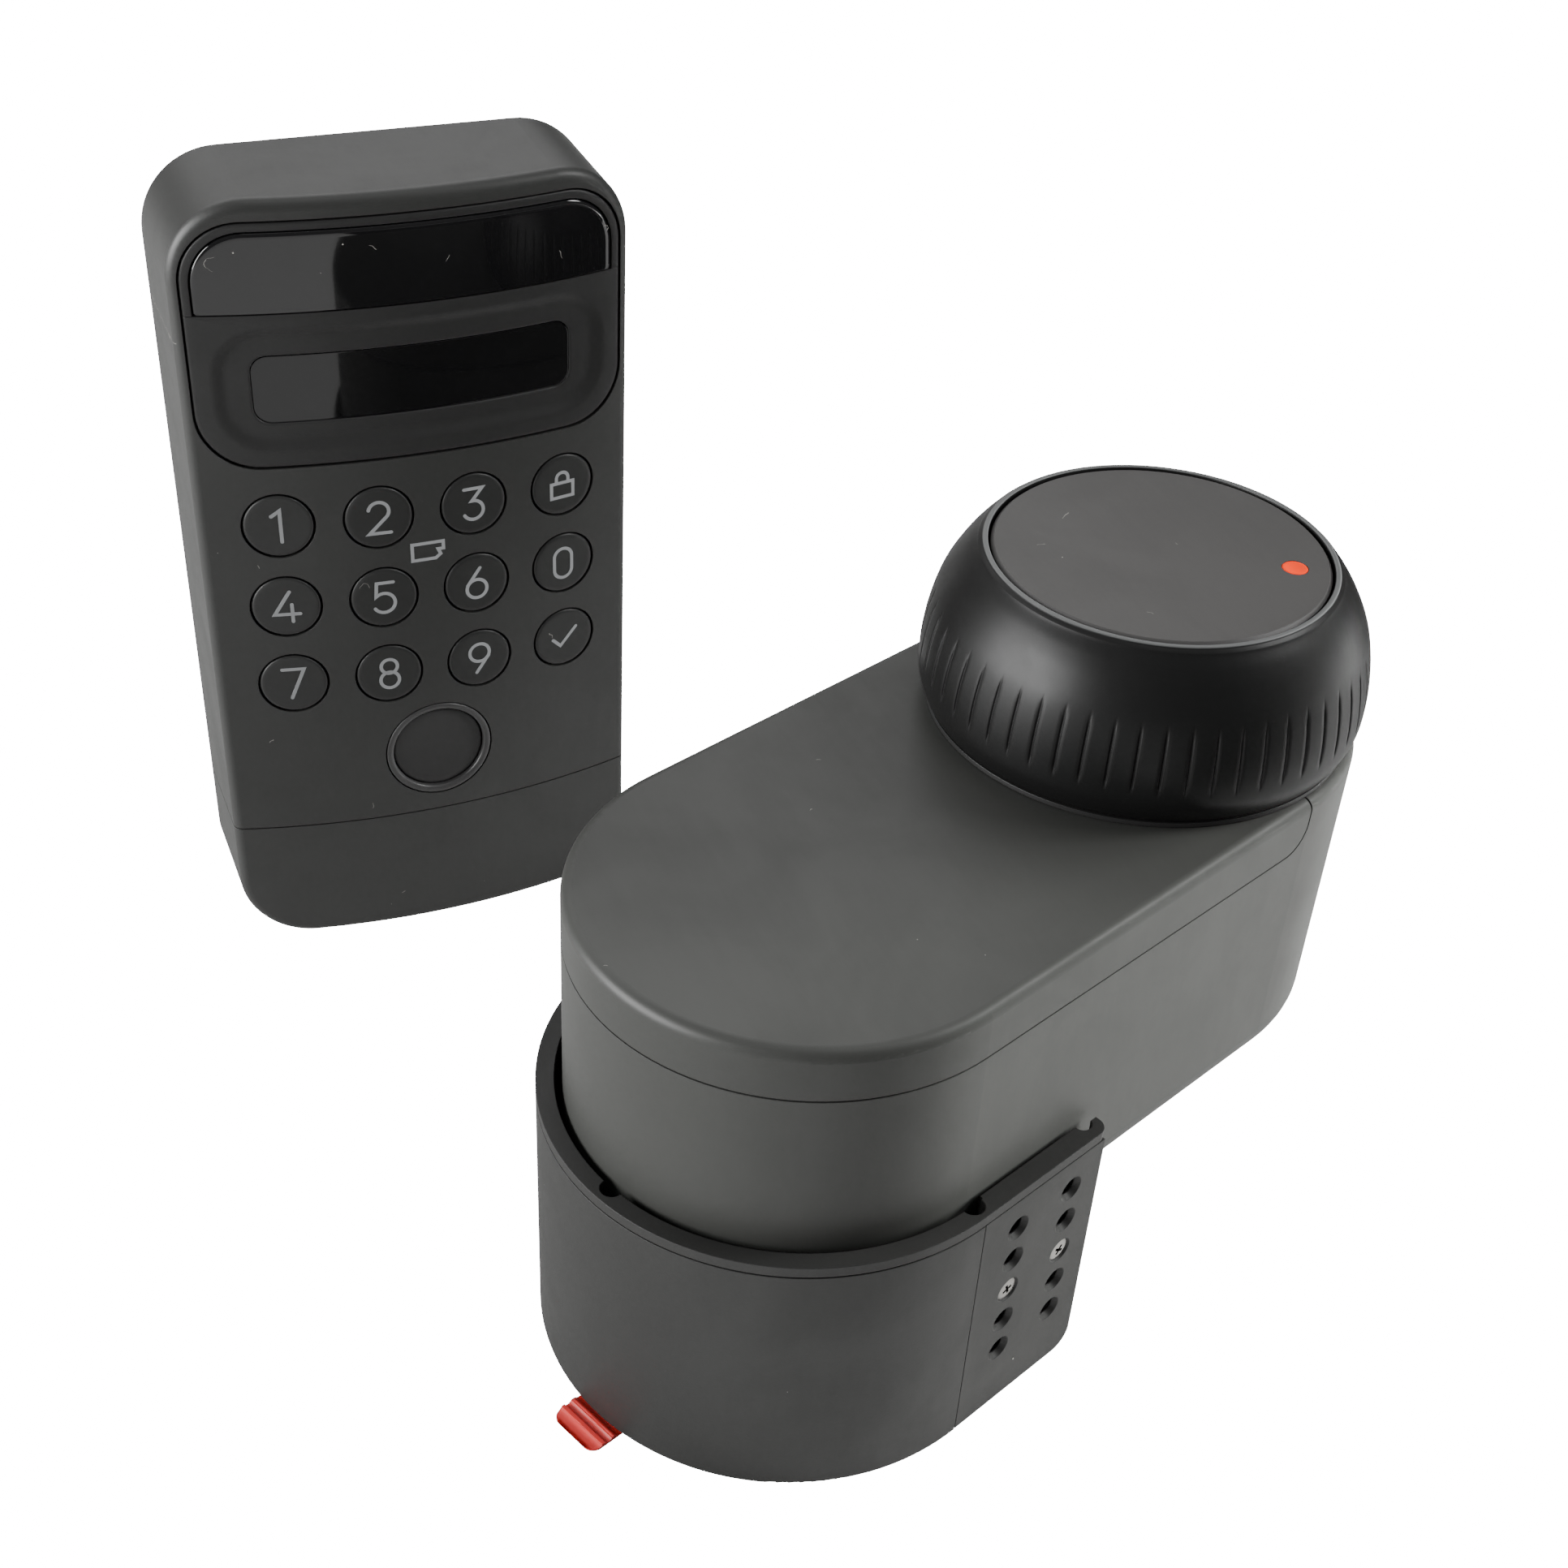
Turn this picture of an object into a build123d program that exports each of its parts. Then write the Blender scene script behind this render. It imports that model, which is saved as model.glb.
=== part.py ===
from build123d import *
import math
import os

# Keypad smart lock: a motor lock that turns a door's thumb turn, held in a
# height-adjustable stick-on bracket, and the keypad that goes with it.
# Both units stand on z = 0, which is also the door face for the lock.

# Lock, driving sizes (mm)
YAW = 21.3             # the lock's long axis, turned from the keypad's width
BODY_R = 29.5          # half width of the body and radius of both its ends
KNOB_X = 61.0          # from the bracket-end centre to the knob axis
BODY_Z0 = 11.4         # underside of the deep end, resting in the cradle
STEP_Z = 28.3          # underside of the shallow knob end
STEP_X = 20.6          # where the deep end stops
SEAM_Z = 64.7          # joint between body and battery cover
TOP_Z = 72.0           # top of the battery cover
WALL = 2.2             # body wall
EDGE_R = 1.5           # top edge rounding
KNOB_Z0 = 73.2         # lower edge of the knob
KNOB_Z1 = 95.2         # top of the knob
DISC_R = 21.85         # quick key in the knob's top
GROOVES = 56           # finger grooves round the knob

# bracket
PAD_T = 1.2            # adhesive pad with its liner
BASE_T = 3.0
BAND_R = 32.9          # outside of the bracket
BAND_T = 0.9
RIM_Z = 41.4           # top of the cradle rim
RIM_T = 1.5
CRADLE_R = 30.55       # inside of the cradle
CRADLE_T = 1.1
MOUNT_X = 22.4         # square end of the bracket
HOLE_X = (6.8, 16.8)   # the two columns of height holes
HOLE_TOP_Z = 34.5
HOLE_PITCH = 5.65
HOLE_ROWS = 5
SCREW_ROW = 2          # third row down carries the screws

TRAY_X = -6.0          # centre of the four cells

# gear train
OUT_TEETH, OUT_M = 42, 1.0
SMALL_TEETH = 14
BIG_TEETH, BIG_M = 36, 0.8
PINION_TEETH = 14
SPINDLE_R = 7.5
BOSSES = ((40.0, 23.6), (47.5, -24.2), (85.3, 0.0))    # screw bosses that hang the gear frame
POSTS = ((43, 17), (43, -17), (76, 12), (76, -12))     # pillars from the underside plate to the frame
UNDER = (54.0, 14.0)   # centre and straight length of the underside opening

# Keypad, driving sizes (mm)
PAD_X, PAD_Y = -20.4, 93.9     # crown of the keypad's face on the floor
PAD_W, PAD_H = 63.8, 122.5
PAD_CORNER = 11.0
PAD_BACK = 22.5        # depth of the shell
PLATE_BACK = 25.0      # back of the wall plate, against the wall
BOW_R = 116.0          # the face is bowed about an upright axis
FACE_T = 3.0
COVER_SEAM = 21.8      # joint between shell and lower cover
KEY_PITCH_X, KEY_PITCH_Z = 14.0, 13.3
KEY_TOP_Z = 75.0
KEY_R, KEY_HOLE_R = 4.85, 5.15
RING_Z = 33.2          # fingerprint reader centre
MODULE = (30.7, 84.0, 119.8, 8.5)    # half width, bottom, top, corner radius
WINDOW = (29.2, 106.9, 118.3, 7.2)
DISH = (27.6, 86.6, 104.8, 6.0)
LENS = (22.6, 90.6, 100.6, 2.4)

os.makedirs("parts", exist_ok=True)
lock_place = Location((0, 0, 0), (0, 0, YAW))
pad_place = Location((PAD_X, PAD_Y, 0))


def save(name, shape, place):
    export_step(place * shape, f"parts/{name}.step")


def save_all(name, shapes, place):
    # like pieces of one kind, kept as separate solids in one file
    export_step(Compound([place * s for shape in shapes for s in shape.solids()]), f"parts/{name}.step")


def slab(face, z0, z1):
    return extrude(Pos(0, 0, z0) * face, z1 - z0)


def disc(x, y, r, z0, z1):
    return Pos(x, y, (z0 + z1) / 2) * Cylinder(r, z1 - z0)


def block(x0, x1, y0, y1, z0, z1):
    return Pos((x0 + x1) / 2, (y0 + y1) / 2, (z0 + z1) / 2) * Box(x1 - x0, y1 - y0, z1 - z0)


def tube(x, y, r0, r1, z0, z1):
    return disc(x, y, r1, z0, z1) - disc(x, y, r0, z0 - 1, z1 + 1)


def stadium(r, x1=KNOB_X):
    return Pos(x1 / 2, 0) * SlotCenterToCenter(x1, 2 * r)


def tongue(r, x_end):
    # round at -X, square at x_end
    return (Circle(r) & Pos(-50, 0) * Rectangle(100, 100)) + Pos(x_end / 2, 0) * Rectangle(x_end, 2 * r)


def polar(r, deg):
    return r * math.cos(math.radians(deg)), r * math.sin(math.radians(deg))


def gear(module, teeth, turn, z0, z1, thin=0.07):
    # involute teeth, a little short and thin so that they run with backlash
    pitch_r = module * teeth / 2
    base_r = pitch_r * math.cos(math.radians(20))
    tip_r, root_r = pitch_r + 0.8 * module, pitch_r - 1.1 * module
    start_r = max(base_r, root_r)
    half = math.pi / (2 * teeth) - thin / pitch_r + math.tan(math.radians(20)) - math.radians(20)
    flank = [(root_r, half)] if root_r < base_r - 0.01 else []
    for i in range(5):
        r = start_r + (tip_r - start_r) * i / 4
        roll = math.acos(min(1.0, base_r / r))
        flank.append((r, half - math.tan(roll) + roll))
    pts = []
    for t in range(teeth):
        mid = math.radians(turn) + 2 * math.pi * t / teeth
        side = [(r, mid - a) for r, a in flank] + [(r, mid + a) for r, a in reversed(flank)]
        pts += [(r * math.cos(a), r * math.sin(a)) for r, a in side]
    face = make_face(Polyline(pts + [pts[0]]))
    return slab(face, z0, z1)


def screw(head_r, shank_r, length, head_h):
    # countersunk, head top at z = 0, cross recess
    body = Pos(0, 0, -head_h / 2) * Cone(shank_r, head_r, head_h)
    body += disc(0, 0, shank_r, -length, -head_h + 0.01)
    for turn in (0, 90):
        body -= Rot(0, 0, turn) * block(-head_r * 0.55, head_r * 0.55, -0.25, 0.25, -0.8, 1)
    return body


# ================================================================ bracket
# Foam adhesive pad over its release liner; the liner's pull tab sticks out at the round end.
pad_face = tongue(31.0, 21.4)
save("adhesive_pad", slab(pad_face, 0.25, PAD_T), lock_place)

liner = slab(pad_face, 0.0, 0.25)
tab = block(-37.2, -30.0, -4.1, 4.1, 0.0, 0.25)
for x in (-33.6, -35.2):
    tab += block(x - 0.25, x + 0.25, -4.1, 4.1, 0.2, 0.7)
tab = fillet(tab.edges().filter_by(Axis.Z).group_by(Axis.X)[0], 1.6)
save("release_liner", liner + tab, lock_place)

# Moulded base plate: the floor and the two upright side flanges with the height holes.
base_z1 = PAD_T + BASE_T
base = slab(tongue(BAND_R - BAND_T - 0.35, MOUNT_X), PAD_T, base_z1)
base -= slab(tongue(24.0, 16.0), PAD_T + 1.6, base_z1 + 1)
for x in (-12, 0, 12):
    base += block(x - 0.8, x + 0.8, -24.2, 24.2, PAD_T + 1.0, base_z1) & slab(tongue(24.2, 16.2), 0, 9)
for y in (-10, 10):
    base += block(-21.0, 16.2, y - 0.8, y + 0.8, PAD_T + 1.0, base_z1)
band_top = RIM_Z - RIM_T - 0.25
for s in (-1, 1):
    y0, y1 = sorted((s * (BAND_R - BAND_T), s * BAND_R))
    flange = block(0.15, MOUNT_X, y0, y1, PAD_T, band_top)
    low = [e for e in flange.edges().filter_by(Axis.Y) if e.center().X > 20 and e.center().Z < 10]
    flange = fillet(low, 3.0)
    for x in HOLE_X:
        for row in range(HOLE_ROWS):
            z = HOLE_TOP_Z - row * HOLE_PITCH
            sink = Pos(x, s * (BAND_R - 0.35), z) * Rot(90 * s, 0, 0) * Cone(1.9, 1.35, 0.72)
            flange -= Pos(x, s * BAND_R, z) * Rot(90, 0, 0) * Cylinder(1.35, 4)
            flange -= sink
    foot_y = sorted((s * 30.0, s * BAND_R))
    base += flange + block(0.15, MOUNT_X - 3.0, foot_y[0], foot_y[1], PAD_T, base_z1)
save("mount_base", base, lock_place)

# Curved wall that wraps the round end from flange to flange.
band_ring = Circle(BAND_R) - Circle(BAND_R - BAND_T)
band = slab(band_ring, PAD_T - 0.4, band_top) & block(-40, 0.0, -40, 40, 0, 60)
low = [e for e in band.edges() if abs(e.center().Z - (PAD_T - 0.4)) < 0.01 and e.length > 90]
save("mount_band", fillet(low[:1], 0.4) if low else band, lock_place)

# Sliding cradle that the body drops into: floor, wall and the rim over the band.
floor_z = BODY_Z0 - 0.15
wall_r = CRADLE_R + CRADLE_T
cradle = slab(tongue(wall_r, MOUNT_X), floor_z - 1.6, RIM_Z)
cradle -= slab(tongue(CRADLE_R, MOUNT_X + 5), floor_z, RIM_Z + 1)
cradle -= slab(tongue(20.0, 12.0), floor_z - 3, floor_z + 1)
rim = slab(tongue(BAND_R, MOUNT_X + 0.6) - tongue(CRADLE_R, MOUNT_X + 5), RIM_Z - RIM_T, RIM_Z)
tips = [e for e in rim.edges().filter_by(Axis.Z) if e.center().X > 20 and abs(e.center().Y) > 32.5]
cradle += fillet(tips, 1.8)
for s in (-1, 1):
    y0, y1 = sorted((s * 30.05, s * 31.0))
    cradle += block(1.8, MOUNT_X - 0.8, y0, y1, RIM_Z - 4.0, RIM_Z)
    for x in HOLE_X:
        z = HOLE_TOP_Z - SCREW_ROW * HOLE_PITCH
        cradle -= Pos(x, s * 31.0, z) * Rot(90, 0, 0) * Cylinder(1.15, 4)
cradle += block(MOUNT_X - 1.3, MOUNT_X - 0.1, -26, 26, floor_z - 1.6, floor_z + 3.0)
for x, y, r in ((-CRADLE_R, 0, 1.5), (0, -30.6, 1.5), (0, 30.6, 1.5), (20.8, -30.2, 1.2), (20.8, 30.2, 1.2)):
    cradle -= disc(x, y, r, RIM_Z - 3.0, RIM_Z + 1)
save("mount_cradle", cradle, lock_place)

# Four cross-head screws that set the cradle's height.
screws = []
for s in (-1, 1):
    for x in HOLE_X:
        z = HOLE_TOP_Z - SCREW_ROW * HOLE_PITCH
        screws.append(Pos(x, s * (BAND_R - 0.15), z) * Rot(-90 * s, 0, 0) * Rot(0, 0, 25 + 40 * x)
                       * screw(1.75, 1.05, 2.1, 0.6))
save_all("mount_screws", screws, lock_place)

# ================================================================ lock body
# One-piece body: deep battery end, shallow gear end, deck, and the cap behind the knob.
shallow = slab(stadium(BODY_R), STEP_Z, SEAM_Z)
shallow = fillet(shallow.faces().sort_by(Axis.Z)[0].edges(), 4.5)
deep = slab(tongue(BODY_R, STEP_X), BODY_Z0, SEAM_Z)
deep = fillet(deep.faces().sort_by(Axis.Z)[0].edges(), 2.0)


def cover_side(gap):
    # side view of the battery cover: its lower corner by the knob is rounded
    side = block(-40, KNOB_X - gap, -40, 40, SEAM_Z + gap, TOP_Z + 10)
    corner = [e for e in side.edges().filter_by(Axis.Y) if e.center().X > 50 and e.center().Z < 70]
    return fillet(corner, 4.0 - gap)


cap = slab(stadium(BODY_R), SEAM_Z - 2, TOP_Z)
cap = fillet(cap.faces().sort_by(Axis.Z)[-1].edges(), EDGE_R)
top_block = cap & block(-40, 100, -40, 40, SEAM_Z, TOP_Z)
shell = shallow + deep + (top_block - cover_side(0.0))
shell -= slab(stadium(BODY_R - WALL), STEP_Z + 2.2, SEAM_Z - 2.0)
shell -= slab(tongue(BODY_R - WALL, STEP_X - 2.0), BODY_Z0 + 1.9, SEAM_Z - 2.0)
shell -= slab(stadium(BODY_R - WALL), SEAM_Z, TOP_Z - 1.8) & block(KNOB_X + 2, 100, -40, 40, 0, 99)
shell -= slab(Pos(TRAY_X, 0) * RectangleRounded(34.0, 34.0, 8.9), SEAM_Z - 5, SEAM_Z + 1)
shell -= slab(Pos(UNDER[0], 0) * SlotCenterToCenter(UNDER[1], 48), STEP_Z - 1, STEP_Z + 3)
shell -= disc(KNOB_X, 0, 22.9, SEAM_Z, TOP_Z + 1)
shell -= disc(KNOB_X, 0, 9.55, SEAM_Z - 3, SEAM_Z + 1)
for x, y in BOSSES:
    shell += tube(x, y, 1.0, 2.3, 48.6, SEAM_Z - 1.9)
save("lock_shell", shell, lock_place)

# Sliding battery cover; its end is cut round the knob's pedestal.
cover = top_block & cover_side(0.26)
cover = cover - (slab(stadium(BODY_R - 1.8), SEAM_Z - 1, TOP_Z - 1.8) & block(-40, 59, -40, 40, 0, 99))
cover -= disc(KNOB_X, 0, 23.4, SEAM_Z - 1, TOP_Z + 1)
for s in (-1, 1):
    y0, y1 = sorted((s * 26.2, s * 27.9))
    cover += block(0, 34, y0, y1, SEAM_Z + 0.15, SEAM_Z + 1.4)
save("battery_cover", cover, lock_place)

# Plate that closes the gear end from below, with the lower bearing seat.
under = slab(Pos(UNDER[0], 0) * SlotCenterToCenter(UNDER[1], 47.4), STEP_Z, STEP_Z + 2.0)
under += disc(KNOB_X, 0, 11.5, STEP_Z + 1, STEP_Z + 4.4)
under -= disc(KNOB_X, 0, 9.55, STEP_Z - 1, STEP_Z + 6)
for x, y in POSTS:
    under += disc(x, y, 3.0, STEP_Z + 1, 45.8)
    under -= disc(x, y, 1.6, STEP_Z - 1, 46)
    under -= Pos(x, y, STEP_Z + 0.6) * Cone(3.05, 1.6, 1.4)
save("underside_cover", under, lock_place)
under_screws = [Pos(x, y, STEP_Z + 0.1) * Rot(180, 0, 0) * screw(2.7, 1.4, 14.0, 1.3) for x, y in POSTS]
save_all("underside_screws", under_screws, lock_place)

# ================================================================ power
cells = [(TRAY_X + 7.9 * i, 7.9 * j) for i in (-1, 1) for j in (-1, 1)]
tray = slab(Pos(TRAY_X, 0) * RectangleRounded(33.0, 33.0, 8.4), BODY_Z0 + 2.1, 62.4)
for x, y in cells:
    tray -= disc(x, y, 7.5, BODY_Z0 + 3.3, 70)
for y in (-7.9, 7.9):
    tray -= slab(Pos(TRAY_X, y) * RectangleRounded(23.6, 6.6, 2.2), BODY_Z0 + 3.3, 16.0)
tray -= block(TRAY_X - 1.2, TRAY_X + 1.2, -12, 12, 22, 70)
save("battery_tray", tray, lock_place)

# Four round cells stood on end, poles alternating.
batteries = []
for n, (x, y) in enumerate(cells):
    up = n in (0, 3)
    z0, z1 = 15.6, 65.0
    cell = disc(x, y, 7.1, z0 + (0 if up else 1.2), z1 - (1.2 if up else 0))
    cell += disc(x, y, 2.6, z0, z1) - disc(x, y, 2.61, z0 + 2, z1 - 2)
    batteries.append(cell)
save_all("batteries", batteries, lock_place)

# Sprung brass-coloured strips under the cells and in the lid above them.
contacts = []
for y in (-7.9, 7.9):
    strip = slab(Pos(TRAY_X, y) * RectangleRounded(23, 6, 2), 14.9, 15.2)
    contacts.append(strip)
for x in (TRAY_X - 7.9, TRAY_X + 7.9):
    contacts.append(slab(Pos(x, 0) * RectangleRounded(6, 23, 2), 65.1, 65.4))
save_all("battery_contacts", contacts, lock_place)

lid = slab(Pos(TRAY_X, 0) * RectangleRounded(36.0, 36.0, 9.0), 65.5, 67.3)
lid += slab(Pos(TRAY_X + 20, 0) * RectangleRounded(10, 14, 3), 65.5, 66.7)
lid -= block(TRAY_X - 6, TRAY_X + 6, -1.0, 1.0, 66.5, 68)
save("battery_lid", lid, lock_place)

# ================================================================ electronics
board = [block(12.0, 13.4, -22, 22, 16, 58)]
board += [block(13.4, 14.6, -18, -8, 20, 30), block(13.4, 14.8, -4, 14, 17, 25)]
board += [block(13.4, 15.4, -20, -12, 36, 46), block(13.4, 14.2, -8, -5, 34, 37), block(13.4, 14.2, -8, -5, 40, 43)]
board += [block(64, 76, -9, -1.0, 44.2, 45.4) - disc(KNOB_X, 0, 12.0, 40, 50)]
save_all("main_board", board, lock_place)

# ================================================================ drive
small_x, small_y = 61 + polar(28.0, 200)[0], polar(28.0, 200)[1]
mot_x, mot_y = small_x + polar(20.0, 115)[0], small_y + polar(20.0, 115)[1]

can = disc(mot_x, mot_y, 10.0, 31.2, 53.6)
can = fillet(can.faces().sort_by(Axis.Z)[0].edges() + can.faces().sort_by(Axis.Z)[-1].edges(), 1.0)
can += disc(mot_x, mot_y, 3.0, 53.5, 54.8)
shaft = disc(mot_x, mot_y, 1.0, 54.8, 60.8)
save("motor", can + shaft, lock_place)
pinion = gear(BIG_M, PINION_TEETH, 115 + 180 + 180 / PINION_TEETH, 55.4, 60.4)
save("motor_pinion", Pos(mot_x, mot_y) * (pinion - disc(0, 0, 1.05, 50, 65)), lock_place)

idler = gear(BIG_M, BIG_TEETH, 115, 56.2, 60.0)
idler += gear(OUT_M, SMALL_TEETH, 20, 49.4, 56.2) + disc(0, 0, 4.6, 49.0, 49.5)
idler -= disc(0, 0, 1.55, 45, 65)
save("idler_gear", Pos(small_x, small_y) * idler, lock_place)
save("idler_shaft", disc(small_x, small_y, 1.5, 45.8, 62.4), lock_place)

frame = slab(stadium(26.9), 46.0, 48.4) & block(18.5, 90, -40, 40, 0, 90)
frame -= disc(KNOB_X, 0, 9.0, 40, 60)
frame -= disc(mot_x, mot_y, 10.3, 40, 60)
frame -= disc(small_x, small_y, 1.52, 40, 60)
frame += tube(small_x, small_y, 1.52, 3.0, 45.8, 48.8)
for x, y in BOSSES:
    frame -= disc(x, y, 1.25, 40, 60)
save("gear_frame", frame, lock_place)
save_all("frame_screws", [Pos(x, y, 45.0) * Rot(180, 0, 0) * screw(2.1, 0.9, 9.0, 0.95) for x, y in BOSSES], lock_place)

out_gear = gear(OUT_M, OUT_TEETH, 200 + 180 / OUT_TEETH, 50.0, 55.0)
out_gear += tube(0, 0, SPINDLE_R + 0.02, 11.0, 48.8, 57.5)
for k in range(6):
    px, py = polar(15.0, 60 * k)
    out_gear -= disc(px, py, 3.0, 40, 60)
out_gear -= disc(0, 0, SPINDLE_R + 0.02, 40, 60)
save("output_gear", Pos(KNOB_X, 0) * out_gear, lock_place)

spindle = disc(0, 0, SPINDLE_R, 26.5, 87.8) - disc(0, 0, 3.0, 60, 95)
save("spindle", Pos(KNOB_X, 0) * spindle, lock_place)

# Plain bushes in the underside plate and in the deck.
bushes = [tube(KNOB_X, 0, SPINDLE_R + 0.05, 9.5, STEP_Z + 0.1, STEP_Z + 4.6),
          tube(KNOB_X, 0, SPINDLE_R + 0.05, 9.5, SEAM_Z - 2.4, SEAM_Z + 2.0)]
save_all("spindle_bearings", bushes, lock_place)
save("position_magnet", tube(KNOB_X, 0, SPINDLE_R + 0.02, 10.0, 40.0, 42.6), lock_place)

# Socket that takes the door's thumb turn, slot across the row's X axis, with rubber jaws.
socket = disc(0, 0, 14.5, 16.0, 27.8)
socket = chamfer(socket.faces().sort_by(Axis.Z)[0].edges(), 0.8)
socket -= disc(0, 0, SPINDLE_R + 0.02, 26.0, 30)
socket -= Rot(0, 0, -YAW) * block(-13.3, 13.3, -4.7, 4.7, 10, 25.4)
for k in range(12):
    px, py = polar(14.9, 30 * k + 15)
    socket -= disc(px, py, 1.1, 10, 24)
save("thumbturn_socket", Pos(KNOB_X, 0) * socket, lock_place)
pads = [Rot(0, 0, -YAW) * block(-10, 10, *sorted((s * 3.6, s * 4.7)), 16.6, 25.2) for s in (-1, 1)]
save_all("socket_pads", [Pos(KNOB_X, 0) * p for p in pads], lock_place)

# ================================================================ knob
base_ring = tube(0, 0, 20.0, 22.5, SEAM_Z, TOP_Z + 0.3)
base_ring += tube(0, 0, 20.0, 28.2, TOP_Z + 0.12, TOP_Z + 0.75)
base_ring += tube(0, 0, 9.75, 21.0, SEAM_Z, SEAM_Z + 1.6)
save("knob_base_ring", Pos(KNOB_X, 0) * base_ring, lock_place)

# Barrel-shaped knob with short upright grooves, a web inside and a hub on the spindle.
outer = Spline((28.5, KNOB_Z0), (29.55, 77.0), (28.9, 84.0), (26.4, 90.6), (23.4, 94.6))
lines = [outer, Polyline((23.4, 94.6), (22.8, KNOB_Z1), (22.2, KNOB_Z1), (22.2, 90.2), (14.0, 90.2), (14.0, 88.0),
                         (SPINDLE_R + 0.02, 88.0), (SPINDLE_R + 0.02, 74.4), (11.0, 74.4), (11.0, 85.6),
                         (24.4, 85.6), (26.6, 79.0), (26.4, KNOB_Z0), (28.5, KNOB_Z0))]
profile = make_face(Plane.XZ * (lines[0] + lines[1]))
knob = revolve(profile, Axis.Z)
knob -= disc(0, 0, 16.5, 88.1, 91)
cutters = []
for k in range(GROOVES):
    slot = Pos(29.75, 0, 79.2) * Rot(0, 5.5, 0) * Box(1.5, 0.42, 8.0)
    cutters.append(Rot(0, 0, 360 * k / GROOVES) * slot)
knob = knob - cutters
save("knob_ring", Pos(KNOB_X, 0) * knob, lock_place)

quick = disc(0, 0, DISC_R, 92.9, KNOB_Z1 - 0.1)
quick = chamfer(quick.faces().sort_by(Axis.Z)[-1].edges(), 0.45)
quick += disc(0, 0, 2.0, 91.8, 93)
dot_x, dot_y = polar(17.0, -52.9)
quick -= disc(dot_x, dot_y, 1.75, 94.3, 96)
save("quick_key_disc", Pos(KNOB_X, 0) * quick, lock_place)
save("indicator_dot", disc(KNOB_X + dot_x, dot_y, 1.72, 94.3, KNOB_Z1 - 0.05), lock_place)

key_board = disc(0, 0, 15.8, 88.3, 89.5)
switch = block(-3, 3, -3, 3, 89.5, 91.0)
save("quick_key_board", Pos(KNOB_X, 0) * (key_board + switch), lock_place)


# ================================================================ keypad
def panel(half_w, z0, z1, r):
    return Pos(0, (z0 + z1) / 2) * RectangleRounded(2 * half_w, z1 - z0, r)


def front(face, y0, y1):
    return extrude(Plane.XZ.offset(-y0) * face, amount=-(y1 - y0))


def bowed(depth):
    return Pos(0, BOW_R, 60) * Cylinder(BOW_R - depth, 180)


def layer(face, d0, d1):
    # a sheet that follows the bowed face between two depths
    return (front(face, -2, 30) & bowed(d0)) - bowed(d1)


def window_face(gap):
    # rounded at the top with the module, square where it meets the panel
    half_w, z0, z1, r = WINDOW
    return panel(half_w - gap, z0 - 20, z1 - gap, r) & Pos(0, z0 + gap + 20) * Rectangle(90, 40)


def face_y(u):
    return BOW_R - math.sqrt(BOW_R ** 2 - u ** 2)


keys = {}
for row, names in enumerate((("1", "2", "3", "lock"), ("4", "5", "6", "0"), ("7", "8", "9", "check"))):
    for col, name in enumerate(names):
        keys[name] = ((col - 1.5) * KEY_PITCH_X, KEY_TOP_Z - row * KEY_PITCH_Z)

hull = front(panel(PAD_W / 2, 0, PAD_H, PAD_CORNER), -3, PAD_BACK) & bowed(0)
hull = fillet(hull.faces().sort_by(Axis.Y)[0].edges(), 1.6)
hollow = front(panel(PAD_W / 2 - 2.2, 2.2, PAD_H - 2.2, PAD_CORNER - 2.2), 0, PAD_BACK + 1) & bowed(FACE_T)
case = hull - hollow

# Front shell: everything above the lower cover's joint.
front_shell = case & block(-40, 40, -5, 40, COVER_SEAM + 0.1, 130)
front_shell += block(-29.7, 29.7, 9.0, 11.0, COVER_SEAM + 0.1, COVER_SEAM + 1.6) & hull
front_shell -= layer(panel(*MODULE), -1, 1.9)
front_shell -= front(panel(26.0, 107.5, 116.5, 4.0), -1, 12)
front_shell -= front(panel(22.0, 91.2, 100.0, 2.0), -1, 12)
for u, z in keys.values():
    front_shell -= Pos(u, 4, z) * Rot(90, 0, 0) * Cylinder(KEY_HOLE_R, 16)
front_shell -= Pos(0, 2, RING_Z) * Rot(90, 0, 0) * Cylinder(8.45, 6.4)
save("keypad_shell", front_shell, pad_place)

# Lower cover over the service bay; it unclips forwards.
lower = case & block(-40, 40, -5, 40, -1, COVER_SEAM - 0.1)
for s in (-1, 1):
    y0, y1 = sorted((s * 26.8, s * 28.4))
    lower += block(y0, y1, 12, 18, 1.5, COVER_SEAM - 0.6)
save("lower_cover", lower, pad_place)

# Upper module: matte panel with a dished lower half, a gloss sensor window and the display lens.
module = layer(panel(MODULE[0] - 0.25, MODULE[1] + 0.25, MODULE[2] - 0.25, MODULE[3]), 0.05, 1.8)
module -= layer(window_face(0.0), -1, 0.95)
module -= layer(panel(DISH[0], DISH[1], DISH[2], DISH[3]), -1, 0.35)
module -= layer(panel(DISH[0] - 0.8, DISH[1] + 0.8, DISH[2] - 0.8, DISH[3] - 0.8), -1, 0.7)
module -= layer(panel(*LENS), -1, 1.3)
module -= front(panel(25.0, 108.5, 116.0, 3.5), -1, 12)
module -= front(panel(21.0, 92.0, 99.4, 1.6), -1, 12)
save("inset_panel", module, pad_place)
window = layer(window_face(0.1), 0.0, 0.93)
save("sensor_window", window, pad_place)
lens = layer(panel(LENS[0] - 0.08, LENS[1] + 0.08, LENS[2] - 0.08, LENS[3]), 0.85, 1.28)
save("display_lens", lens, pad_place)
save("display_panel", block(-20, 20, 5.6, 7.0, 92.3, 99.1), pad_place)

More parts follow.
